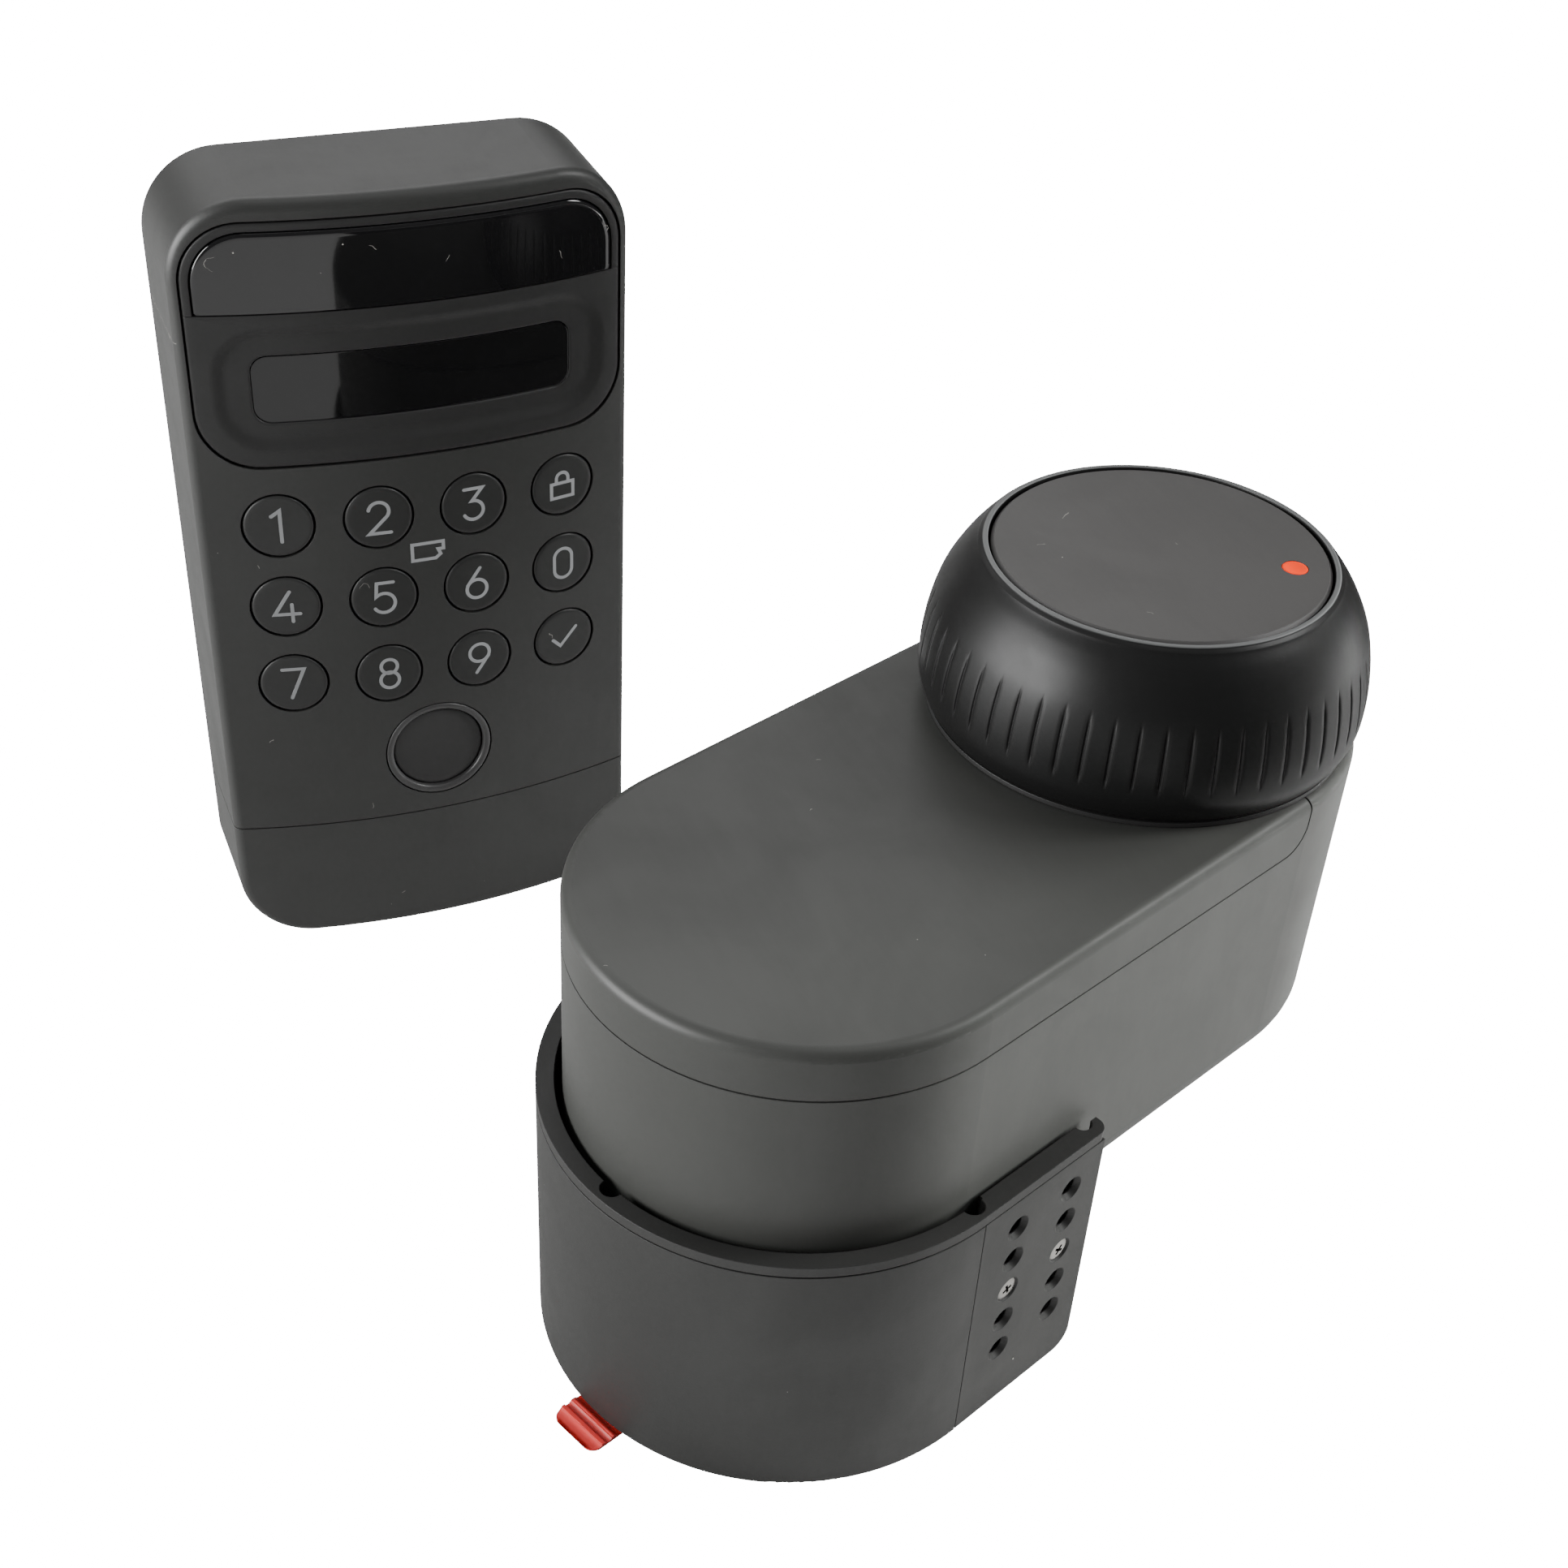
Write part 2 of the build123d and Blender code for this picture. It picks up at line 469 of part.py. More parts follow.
# Face camera: two lens barrels and two infrared emitters on a small carrier.
camera = block(-22, 22, 7.2, 8.8, 108.6, 115.8)
for u, r, y0 in ((-13, 3.2, 3.2), (13, 3.2, 3.2), (-4, 1.8, 4.4), (4, 1.8, 4.4)):
    camera += Pos(u, (y0 + 7.4) / 2, 112.2) * Rot(90, 0, 0) * Cylinder(r, 7.4 - y0)
save("camera_module", camera, pad_place)

# Twelve round keys, each with a flange behind the shell.
for name, (u, z) in keys.items():
    stem = front(Pos(u, z) * Circle(KEY_R), -2, 12) & bowed(-0.08)
    stem -= front(Pos(u, z) * Circle(12), face_y(u) + 5.0, 30)
    deep_y = face_y(abs(u) + 5.6) + FACE_T + 0.4
    flange = front(Pos(u, z) * Circle(5.6), deep_y, deep_y + 0.8)
    save(f"key_{name}", stem + flange if deep_y < face_y(u) + 5.0 else stem, pad_place)

# Silicone mat with a plunger behind every key.
mat = front(panel(27.8, 41.5, 82.0, 3.0), 8.0, 8.7)
for u, z in keys.values():
    y0 = min(7.9, max(face_y(u) + 5.7, face_y(abs(u) + 5.6) + FACE_T + 1.8))
    mat += Pos(u, (y0 + 8.5) / 2, z) * Rot(90, 0, 0) * Cylinder(3.2, 8.5 - y0)
save("key_mat", mat, pad_place)

pcb = front(panel(28.6, 24.5, 118.5, 7.0), 8.9, 10.3)
chips = [block(-20, -8, 10.3, 11.8, 100, 110), block(6, 18, 10.3, 11.6, 98, 112), block(-6, 4, 10.3, 11.3, 90, 96)]
save_all("keypad_board", [pcb] + chips, pad_place)

# Fingerprint reader: raised ring round a slightly dished disc.
reader = Pos(0, 0, RING_Z) * Rot(90, 0, 0)
ring = reader * (Cylinder(8.25, 2.4) - Cylinder(7.15, 4))
ring = Pos(0, 1.5, 0) * ring
ring = ring & bowed(-0.05)
save("fingerprint_ring", ring, pad_place)
sensor = Pos(0, 2.6, RING_Z) * Rot(90, 0, 0) * Cylinder(7.0, 3.6)
sensor -= Pos(0, 0.8 - 60, RING_Z) * Sphere(60.45)
save("fingerprint_sensor", sensor, pad_place)

save("keypad_battery", front(panel(22.5, 34.0, 84.0, 3.0), 12.4, 19.4), pad_place)

# Rear cover inside the shell's rim, its screws, and the wall plate behind it.
rear = front(panel(PAD_W / 2 - 2.45, 2.5, PAD_H - 2.45, PAD_CORNER - 2.4), 20.3, PAD_BACK)
rear_posts = [(-25.5, 30), (25.5, 30), (-25.5, 88), (25.5, 88)]
for u, z in rear_posts:
    rear += Pos(u, 16.0, z) * Rot(90, 0, 0) * Cylinder(2.4, 9.4) if abs(u) > 25 else rear
    rear -= Pos(u, 18, z) * Rot(90, 0, 0) * Cylinder(1.3, 12)
    rear -= Pos(u, PAD_BACK - 0.6, z) * Rot(90, 0, 0) * Cylinder(2.6, 1.4)
for z in (24, 100):
    rear -= front(panel(6.0, z - 4, z + 6, 1.5), 19, 24)
save("rear_cover", rear, pad_place)
rear_screws = [Pos(u, PAD_BACK - 0.5, z) * Rot(-90, 0, 0) * screw(2.2, 1.2, 9.0, 0.9) for u, z in rear_posts]
save_all("rear_screws", rear_screws, pad_place)

plate = front(panel(PAD_W / 2 - 1.4, 3.2, PAD_H - 3.0, PAD_CORNER - 1.4), PAD_BACK + 0.2, PLATE_BACK)
for z in (24, 100):
    plate += block(-4.5, 4.5, 20.2, PAD_BACK + 0.4, z - 3, z - 1.2)
    plate += block(-4.5, 4.5, 20.2, 21.4, z - 3, z + 2.5)
for z in (16.0, 106.0):
    plate -= Pos(0, PLATE_BACK - 1, z) * Rot(90, 0, 0) * Cylinder(2.1, 8)
    plate -= Pos(0, PAD_BACK + 0.2 + 0.9, z) * Rot(90, 0, 0) * Cone(2.1, 4.0, 1.9)
save("wall_plate", plate, pad_place)
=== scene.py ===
import math

import bmesh
import bpy
from mathutils import Matrix, Vector


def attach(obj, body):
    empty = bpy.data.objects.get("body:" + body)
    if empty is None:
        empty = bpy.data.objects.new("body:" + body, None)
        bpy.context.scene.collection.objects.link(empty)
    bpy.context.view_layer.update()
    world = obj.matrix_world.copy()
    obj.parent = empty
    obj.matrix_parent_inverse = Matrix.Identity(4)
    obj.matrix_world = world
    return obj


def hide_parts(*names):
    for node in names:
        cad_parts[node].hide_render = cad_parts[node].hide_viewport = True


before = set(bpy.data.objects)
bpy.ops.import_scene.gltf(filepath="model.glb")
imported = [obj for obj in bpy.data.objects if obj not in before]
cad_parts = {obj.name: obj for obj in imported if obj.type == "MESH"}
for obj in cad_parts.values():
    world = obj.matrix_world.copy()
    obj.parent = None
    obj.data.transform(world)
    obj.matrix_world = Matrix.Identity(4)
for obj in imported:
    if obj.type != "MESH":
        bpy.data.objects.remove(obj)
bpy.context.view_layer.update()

mm = 0.001

# ---------------------------------------------------------------- bracket mouldings
# The stick-on bracket: a base plate with two upright flanges, the wall that wraps the round end, and the
# cradle that slides in it. All three are injection moulded in satin black glass-filled nylon.
def add(tree, kind, wires=(), **settings):
    # one shader or geometry node, its settings, and what feeds each socket
    made = tree.nodes.new(kind)
    for key, value in settings.items():
        setattr(made, key, value)
    for socket, value in dict(wires).items():
        if isinstance(value, bpy.types.NodeSocket):
            tree.links.new(value, made.inputs[socket])
        else:
            made.inputs[socket].default_value = value
    return made


def maths(tree, operation, *values, **settings):
    # one sum on numbers and sockets
    return add(tree, "ShaderNodeMath", dict(enumerate(values)), operation=operation, **settings).outputs[0]


def new_group(name, kind, inputs, outputs):
    # an empty node group with its sockets, and the two ends to wire it between
    tree = bpy.data.node_groups.new(name, kind)
    for label, socket_kind, value in inputs:
        socket = tree.interface.new_socket(label, in_out="INPUT", socket_type=socket_kind)
        if value is not None:
            socket.default_value = value
    for label, socket_kind in outputs:
        tree.interface.new_socket(label, in_out="OUTPUT", socket_type=socket_kind)
    return tree, tree.nodes.new("NodeGroupInput").outputs, tree.nodes.new("NodeGroupOutput").inputs


# Spark-eroded mould texture: fine pits, with a broader unevenness under them.
grain_tree, given, out = new_group(
    "moulded_grain", "ShaderNodeTree",
    [("Vector", "NodeSocketVector", None), ("Scale", "NodeSocketFloat", 4000.0)],
    [("Height", "NodeSocketFloat"), ("Tone", "NodeSocketFloat")],
)
pits = add(grain_tree, "ShaderNodeTexNoise", {"Vector": given["Vector"], "Scale": given["Scale"],
                                              "Detail": 3.0, "Roughness": 0.6})
broad = add(grain_tree, "ShaderNodeTexNoise", {"Vector": given["Vector"], "Detail": 2.0,
                                               "Scale": maths(grain_tree, "MULTIPLY", given["Scale"], 0.11)})
both = maths(grain_tree, "MULTIPLY_ADD", broad.outputs["Fac"], 0.5, pits.outputs["Fac"])
grain_tree.links.new(both, out["Height"])
grain_tree.links.new(pits.outputs["Fac"], out["Tone"])

# Where hands and boxes have rubbed: soft clouds, with faint long scuffs through them.
marks_tree, given, out = new_group(
    "handling_marks", "ShaderNodeTree",
    [("Vector", "NodeSocketVector", None), ("Scale", "NodeSocketFloat", 55.0)],
    [("Mask", "NodeSocketFloat")],
)
clouds = add(marks_tree, "ShaderNodeTexNoise", {"Vector": given["Vector"], "Scale": given["Scale"],
                                                "Detail": 5.0, "Distortion": 0.8})
long_way = add(marks_tree, "ShaderNodeVectorMath", {0: given["Vector"], 1: (9.0, 1.3, 2.1)},
               operation="MULTIPLY")
scuffs = add(marks_tree, "ShaderNodeTexNoise", {"Vector": long_way.outputs[0], "Scale": given["Scale"],
                                                "Detail": 7.0, "Roughness": 0.75})
mixed = maths(marks_tree, "MULTIPLY_ADD", scuffs.outputs["Fac"], 0.4, clouds.outputs["Fac"])
spread = add(marks_tree, "ShaderNodeMapRange", {"Value": mixed, "From Min": 0.42, "From Max": 0.98},
             interpolation_type="SMOOTHSTEP")
marks_tree.links.new(spread.outputs["Result"], out["Mask"])

# Settled dust: pinpoint specks, and short curved fibres that lie in the X-Y plane of the vector given.
dust_tree, given, out = new_group(
    "settled_dust", "ShaderNodeTree",
    [("Vector", "NodeSocketVector", None), ("Specks", "NodeSocketFloat", 0.04),
     ("Lint", "NodeSocketFloat", 0.1), ("Cell", "NodeSocketFloat", 220.0)],
    [("Mask", "NodeSocketFloat")],
)
dots = add(dust_tree, "ShaderNodeTexVoronoi", {"Vector": given["Vector"], "Scale": 640.0})
chance = add(dust_tree, "ShaderNodeSeparateColor", {0: dots.outputs["Color"]})
dot_kept = maths(dust_tree, "LESS_THAN", chance.outputs["Red"], given["Specks"])
dot_size = maths(dust_tree, "MULTIPLY_ADD", chance.outputs["Green"], 0.05, 0.035)
dot_near = maths(dust_tree, "LESS_THAN", dots.outputs["Distance"], dot_size)
speck = maths(dust_tree, "MULTIPLY", dot_kept, dot_near)
sway = add(dust_tree, "ShaderNodeTexNoise", {"Vector": given["Vector"], "Scale": 900.0, "Detail": 1.0})
swayed = add(dust_tree, "ShaderNodeVectorMath", {0: sway.outputs["Color"], 1: (0.0011, 0.0011, 0.0),
                                                 2: given["Vector"]}, operation="MULTIPLY_ADD")
cells = add(dust_tree, "ShaderNodeVectorMath", {0: swayed.outputs[0], "Scale": given["Cell"]},
            operation="SCALE")
strand = add(dust_tree, "ShaderNodeTexVoronoi", {"Vector": cells.outputs[0], "Scale": 1.0},
             voronoi_dimensions="2D")
chance = add(dust_tree, "ShaderNodeSeparateColor", {0: strand.outputs["Color"]})
local = add(dust_tree, "ShaderNodeVectorMath", {0: cells.outputs[0], 1: strand.outputs["Position"]},
            operation="SUBTRACT")
angle = maths(dust_tree, "MULTIPLY", chance.outputs["Red"], 2 * math.pi)
turned = add(dust_tree, "ShaderNodeVectorRotate", {"Vector": local.outputs[0], "Angle": angle},
             rotation_type="Z_AXIS")
lies = add(dust_tree, "ShaderNodeSeparateXYZ", {0: turned.outputs[0]})
squared = maths(dust_tree, "MULTIPLY", lies.outputs["X"], lies.outputs["X"])
bend = maths(dust_tree, "MULTIPLY_ADD", chance.outputs["Green"], 9.0, -4.5)
off_line = maths(dust_tree, "ABSOLUTE", maths(dust_tree, "MULTIPLY_ADD", squared, bend, lies.outputs["Y"]))
on_line = add(dust_tree, "ShaderNodeMapRange", {"Value": off_line, "From Min": 0.011, "From Max": 0.005,
                                                "To Min": 0.0, "To Max": 0.7})
reach = maths(dust_tree, "MULTIPLY", chance.outputs["Green"], chance.outputs["Red"])
reach = maths(dust_tree, "MULTIPLY_ADD", reach, 0.28, 0.05)
in_length = maths(dust_tree, "LESS_THAN", maths(dust_tree, "ABSOLUTE", lies.outputs["X"]), reach)
lint_kept = maths(dust_tree, "LESS_THAN", chance.outputs["Blue"], given["Lint"])
fibre = maths(dust_tree, "MULTIPLY", on_line.outputs["Result"], in_length)
fibre = maths(dust_tree, "MULTIPLY", fibre, lint_kept)
dust_tree.links.new(maths(dust_tree, "MAXIMUM", speck, fibre), out["Mask"])


def own_place(tree):
    # where a point lies on the piece itself
    return add(tree, "ShaderNodeTexCoord").outputs["Object"]


def laid_over(material, mask, colour):
    # a second colour over the finish's own, where the mask is 1
    tree = material.node_tree
    base = tree.nodes["Principled BSDF"].inputs["Base Color"]
    mix = add(tree, "ShaderNodeMix", {"Factor": mask, 6: base.links[0].from_socket, 7: (*colour, 1)},
              data_type="RGBA")
    tree.links.new(mix.outputs[2], base)


DUST_GREY = (0.30, 0.29, 0.27)


def finish(name, colour, roughness, light=1.25, grain=(4000.0, 0.004), marks=0.10, dust=None, metallic=0.0,
           edge=0.12, turn=None, **sockets):
    # a moulded, painted or metal surface: grain, rubbed patches, soft edges and, where given, dust
    material = bpy.data.materials.new(name)
    material.use_nodes = True
    tree = material.node_tree
    surface = tree.nodes["Principled BSDF"]
    place = own_place(tree)
    if turn:
        place = add(tree, "ShaderNodeMapping", {"Vector": place, "Rotation": turn}).outputs["Vector"]
    pitted = add(tree, "ShaderNodeGroup", {"Vector": place, "Scale": grain[0]}, node_tree=grain_tree)
    rubbed = add(tree, "ShaderNodeGroup", {"Vector": place}, node_tree=marks_tree)
    tone = maths(tree, "MULTIPLY_ADD", pitted.outputs["Tone"], 0.35, rubbed.outputs["Mask"])
    lighter = [min(1.0, c * light) for c in colour]
    mix = add(tree, "ShaderNodeMix", {"Factor": tone, 6: (*colour, 1), 7: (*lighter, 1)}, data_type="RGBA")
    tree.links.new(mix.outputs[2], surface.inputs["Base Color"])
    rough = maths(tree, "MULTIPLY_ADD", rubbed.outputs["Mask"], -marks, roughness + marks / 2, use_clamp=True)
    if dust:
        specks, lint = dust
        dusty = add(tree, "ShaderNodeGroup", {"Vector": place, "Specks": specks, "Lint": lint},
                    node_tree=dust_tree)
        laid_over(material, dusty.outputs["Mask"], DUST_GREY)
        rough = maths(tree, "MAXIMUM", dusty.outputs["Mask"], rough)
    tree.links.new(rough, surface.inputs["Roughness"])
    bump = add(tree, "ShaderNodeBump", {"Height": pitted.outputs["Height"], "Strength": 1.0,
                                        "Distance": grain[1] * mm})
    if edge:
        softened = add(tree, "ShaderNodeBevel", {"Radius": edge * mm}, samples=6)
        tree.links.new(softened.outputs[0], bump.inputs["Normal"])
    tree.links.new(bump.outputs[0], surface.inputs["Normal"])
    surface.inputs["Metallic"].default_value = metallic
    for key, value in sockets.items():
        surface.inputs[key.replace("_", " ")].default_value = value
    return material


def dress(material, *nodes):
    # a CAD piece keeps its mesh and takes a finish
    for node in nodes:
        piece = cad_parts[node]
        if not piece.data.materials:
            piece.data.materials.append(None)
        for used in piece.material_slots:
            used.material = material


bracket_black = finish("bracket_black", (0.0122, 0.0124, 0.0117), 0.52, light=1.25, grain=(2600.0, 0.010),
                       marks=0.07, dust=(0.012, 0.03), edge=0.16)
dress(bracket_black, "mount_base", "mount_band", "mount_cradle")

# ---------------------------------------------------------------- adhesive pad and its liner
# A die-cut foam pad sticks the bracket to the door. Until then a red film liner covers the glue, and its
# pull tab, creased twice across so that it is easy to grip, stands out from under the round end.
foam_black = finish("foam_black", (0.018, 0.018, 0.018), 0.92, light=1.8, grain=(1800.0, 0.05), marks=0.05,
                    edge=0.0)
dress(foam_black, "adhesive_pad")


def put(name, data):
    # a new object in the scene, at the origin
    piece = bpy.data.objects.new(name, data)
    bpy.context.scene.collection.objects.link(piece)
    return piece


def outward_mesh(name, points, faces, weld=0.0):
    # a mesh whose faces look outwards, with points nearer than the weld distance joined
    mesh = bpy.data.meshes.new(name)
    mesh.from_pydata(points, [], faces)
    made = bmesh.new()
    made.from_mesh(mesh)
    if weld:
        bmesh.ops.remove_doubles(made, verts=made.verts, dist=weld)
    bmesh.ops.recalc_face_normals(made, faces=made.faces)
    made.to_mesh(mesh)
    made.free()
    return mesh


def mesh_piece(name, points, faces, material, smooth=40.0, weld=0.0005 * mm):
    # a finished piece, from points in millimetres in the shared frame
    mesh = outward_mesh(name, [Vector(p) * mm for p in points], faces, weld)
    mesh.shade_smooth()
    mesh.set_sharp_from_angle(angle=math.radians(smooth))
    mesh.materials.append(material)
    return put(name, mesh)


def ring_quads(rings, n, joined=False):
    # faces between neighbouring rings of n points each, and from the last ring to the first where joined
    return [(a * n + i, a * n + (i + 1) % n, (a + 1) % rings * n + (i + 1) % n, (a + 1) % rings * n + i)
            for a in range(rings if joined else rings - 1) for i in range(n)]


def stretch(*stops):
    # numbers from the first stop to the last, evenly spaced between neighbours: (start, (end, steps), ...)
    values = [stops[0]]
    for end, steps in stops[1:]:
        start = values[-1]
        values += [start + (end - start) * (i + 1) / steps for i in range(steps)]
    return values


LOCK_TURN = math.radians(21.3)


def lock_point(x, y, z):
    # from the lock's own axes to the shared frame
    return (x * math.cos(LOCK_TURN) - y * math.sin(LOCK_TURN),
            x * math.sin(LOCK_TURN) + y * math.cos(LOCK_TURN), z)


TAB_TIP, TAB_ROOT, TAB_HALF, TAB_CORNER, FILM = -37.2, -29.5, 4.1, 1.7, 0.25
TAB_STEPS = 14
CREASES = ((-33.5, 0.55, 0.50), (-35.3, 0.42, 0.34))


def tab_height(x):
    # a ridge for each crease: where it lies, its width and its height
    return sum(high * math.exp(-(((x - at) / wide) ** 2)) for at, wide, high in CREASES)


tab_rows = stretch(TAB_TIP, (TAB_TIP + TAB_CORNER, 10), (-32.0, 44), (TAB_ROOT, 4))
shares = stretch(-1, (1, TAB_STEPS))
tab_points = []
for x in tab_rows:
    inset = max(0.0, TAB_TIP + TAB_CORNER - x)
    half = TAB_HALF - TAB_CORNER + math.sqrt(max(0.0, TAB_CORNER ** 2 - inset ** 2))
    for share, lift in [(share, 0.0) for share in shares] + [(share, FILM) for share in reversed(shares)]:
        sag = 0.05 * math.cos(share * 5 + x)
        tab_points.append(lock_point(x, share * half, tab_height(x) * (1 + sag) + lift))
section_size = 2 * len(shares)
tab_faces = ring_quads(len(tab_rows), section_size)
for start in (0, len(tab_points) - section_size):
    tab_faces += [(start + i, start + i + 1, start + section_size - 2 - i, start + section_size - 1 - i)
                  for i in range(TAB_STEPS)]
liner_red = finish("liner_red", (0.80, 0.045, 0.040), 0.30, light=1.5, grain=(500.0, 0.02), marks=0.25,
                   edge=0.0, Transmission_Weight=0.25, Subsurface_Weight=0.35, Subsurface_Scale=0.001)
tab = mesh_piece("liner_pull_tab", tab_points, tab_faces, liner_red, smooth=60)
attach(tab, "mount")
dress(liner_red, "release_liner")

# ---------------------------------------------------------------- cross-head screws
# Small zinc-plated steel countersunk screws with a cross recess, driven by hand: four set the cradle's
# height, four close the underside, three hang the gear frame and four hold the keypad's back.
screw_steel = finish("screw_steel", (0.36, 0.35, 0.33), 0.28, light=1.5, grain=(3000.0, 0.004), marks=0.25,
                     metallic=1.0, edge=0.08)
tree = screw_steel.node_tree
plating = tree.nodes["Principled BSDF"].inputs["Base Color"]
# painted shade: where ambient occlusion finds the cross recess and other tight hollows, the plating's colour
# is darkened to as little as 6 %, standing in for the shade there
recess = add(tree, "ShaderNodeAmbientOcclusion", {"Distance": 0.9 * mm}, samples=6)
recess_shade = add(tree, "ShaderNodeMapRange", {"Value": recess.outputs["AO"], "From Min": 0.55, "From Max": 0.95,
                                         "To Min": 0.06})
shaded_plating = add(tree, "ShaderNodeVectorMath", {0: plating.links[0].from_socket,
                                            "Scale": recess_shade.outputs["Result"]}, operation="SCALE")
tree.links.new(shaded_plating.outputs[0], plating)


def spun(profile, segments=48):
    # (radius, height) points turned about Z: the points and faces of a shell, in the profile's own unit
    points, faces, rings = [], [], []
    for radius, height in profile:
        steps = segments if radius > 1e-6 else 1
        rings.append(range(len(points), len(points) + steps))
        angles = [2 * math.pi * i / segments for i in range(steps)]
        points += [(radius * math.cos(a), radius * math.sin(a), height) for a in angles]
    for lower, upper in zip(rings, rings[1:]):
        for i in range(segments):
            n = (i + 1) % segments
            low, high = len(lower), len(upper)
            quad = (lower[i % low], lower[n % low], upper[n % high], upper[i % high])
            faces.append(tuple(dict.fromkeys(quad)))
    return points, faces


def worked_out(piece):
    # the piece's mesh as its modifiers make it, with the modifiers taken off
    bpy.context.view_layer.update()
    mesh = bpy.data.meshes.new_from_object(piece.evaluated_get(bpy.context.evaluated_depsgraph_get()))
    piece.modifiers.clear()
    return mesh


def shaped_by(piece, tree, **given):
    # a geometry node group run on the piece, its inputs set by their names
    nodes = piece.modifiers.new(tree.name, "NODES")
    nodes.node_group = tree
    for item in tree.interface.items_tree:
        if item.name in given:
            nodes[item.identifier] = given[item.name]
    piece.data = worked_out(piece)
    piece.data.name = piece.name


def screw_pattern(head, shank, length, sink):
    # one screw, its head's crown at the origin and its shank down -Z; two tapered blades cut its recess
    profile = [(0, 0.0), (head * 0.55, -0.015), (head * 0.86, -0.06), (head, -0.16), (head, -0.24),
               (shank, -sink), (shank, -length + 0.3), (shank - 0.3, -length), (0, -length)]
    pattern = put("screw_pattern", outward_mesh("screw_pattern", *spun(profile, 40)))
    for turn in (0, 90):
        wing = bmesh.new()
        bmesh.ops.create_cube(wing, size=1.0)
        for v in wing.verts:
            long, wide, high = (0.66, 0.18, -0.75 * sink) if v.co.z < 0 else (1.22, 0.30, 0.5)
            v.co = Vector((v.co.x * head * long, v.co.y * head * wide, high))
        bmesh.ops.rotate(wing, verts=wing.verts, matrix=Matrix.Rotation(math.radians(turn), 3, "Z"))
        blade = put("blade", bpy.data.meshes.new("blade"))
        wing.to_mesh(blade.data)
        wing.free()
        cut = pattern.modifiers.new("cut", "BOOLEAN")
        cut.operation, cut.object, cut.solver = "DIFFERENCE", blade, "EXACT"
        pattern.data = worked_out(pattern)
        bpy.data.objects.remove(blade)
    pattern.data.transform(Matrix.Scale(mm, 4))
    pattern.data.shade_smooth()
    pattern.data.set_sharp_from_angle(angle=math.radians(30))
    return pattern


# A screw set on each point, its Z along "aim" and turned about it by "turn".
place_screws, given, out = new_group(
    "place_screws", "GeometryNodeTree",
    [("Geometry", "NodeSocketGeometry", None), ("Pattern", "NodeSocketObject", None),
     ("Finish", "NodeSocketMaterial", None)],
    [("Geometry", "NodeSocketGeometry")],
)
aim = add(place_screws, "GeometryNodeInputNamedAttribute", {"Name": "aim"}, data_type="FLOAT_VECTOR")
turn = add(place_screws, "GeometryNodeInputNamedAttribute", {"Name": "turn"}, data_type="FLOAT")
facing = add(place_screws, "FunctionNodeAlignRotationToVector", {"Vector": aim.outputs["Attribute"]},
             axis="Z")
about = add(place_screws, "FunctionNodeAxisAngleToRotation", {"Axis": (0, 0, 1),
                                                              "Angle": turn.outputs["Attribute"]})
heading = add(place_screws, "FunctionNodeRotateRotation",
              {"Rotation": facing.outputs[0], "Rotate By": about.outputs[0]}, rotation_space="LOCAL")
pattern = add(place_screws, "GeometryNodeObjectInfo", {"Object": given["Pattern"]})
placed = add(place_screws, "GeometryNodeInstanceOnPoints", {"Points": given["Geometry"],
                                                            "Instance": pattern.outputs["Geometry"],
                                                            "Rotation": heading.outputs[0]})
real = add(place_screws, "GeometryNodeRealizeInstances", {0: placed.outputs[0]})
plated = add(place_screws, "GeometryNodeSetMaterial", {"Geometry": real.outputs[0],
                                                       "Material": given["Finish"]})
place_screws.links.new(plated.outputs[0], out[0])


def driven_screws(name, pattern, places):
    # places are (point in mm, direction the head faces, turn in radians)
    mesh = bpy.data.meshes.new(name)
    mesh.from_pydata([Vector(p) * mm for p, _, _ in places], [], [])
    mesh.attributes.new("aim", "FLOAT_VECTOR", "POINT")
    mesh.attributes.new("turn", "FLOAT", "POINT")
    for i, (_, aim, turn) in enumerate(places):
        mesh.attributes["aim"].data[i].vector = aim
        mesh.attributes["turn"].data[i].value = turn
    screws = put(name, mesh)
    shaped_by(screws, place_screws, Pattern=pattern, Finish=screw_steel)
    bpy.data.objects.remove(pattern)
    return screws


FLANGE_FACE, HOLE_COLUMNS, TOP_HOLE, HOLE_PITCH, SET_IN = 32.9, (6.8, 16.8), 34.5, 5.65, 0.12
SCREW_HEIGHT = TOP_HOLE - 2 * HOLE_PITCH
height_places = []
for side in (-1, 1):
    outward = lock_point(0, side, 0)
    height_places += [(lock_point(x, side * (FLANGE_FACE - SET_IN), SCREW_HEIGHT), outward, 0.6 + x * 0.7)
                      for x in HOLE_COLUMNS]
height_screws = driven_screws("height_screws", screw_pattern(1.72, 1.05, 2.1, 0.62), height_places)
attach(height_screws, "mount")
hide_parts("mount_screws")

STEP_Z, KNOB_X = 28.3, 61.0
under_places = [(lock_point(x, y, STEP_Z + 0.15), (0, 0, -1), 0.3 + x)
                for x, y in ((43, 17), (43, -17), (76, 12), (76, -12))]
under_screws = driven_screws("underside_cross_screws", screw_pattern(2.65, 1.4, 14.0, 1.3), under_places)
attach(under_screws, "lock")
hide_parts("underside_screws")

FRAME_Z = 45.0
frame_places = [(lock_point(x, y, FRAME_Z), (0, 0, -1), 0.8 * x)
                for x, y in ((40.0, 23.6), (47.5, -24.2), (85.3, 0.0))]
gear_screws = driven_screws("gear_frame_cross_screws", screw_pattern(2.05, 0.9, 9.0, 0.95), frame_places)
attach(gear_screws, "lock")
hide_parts("frame_screws")

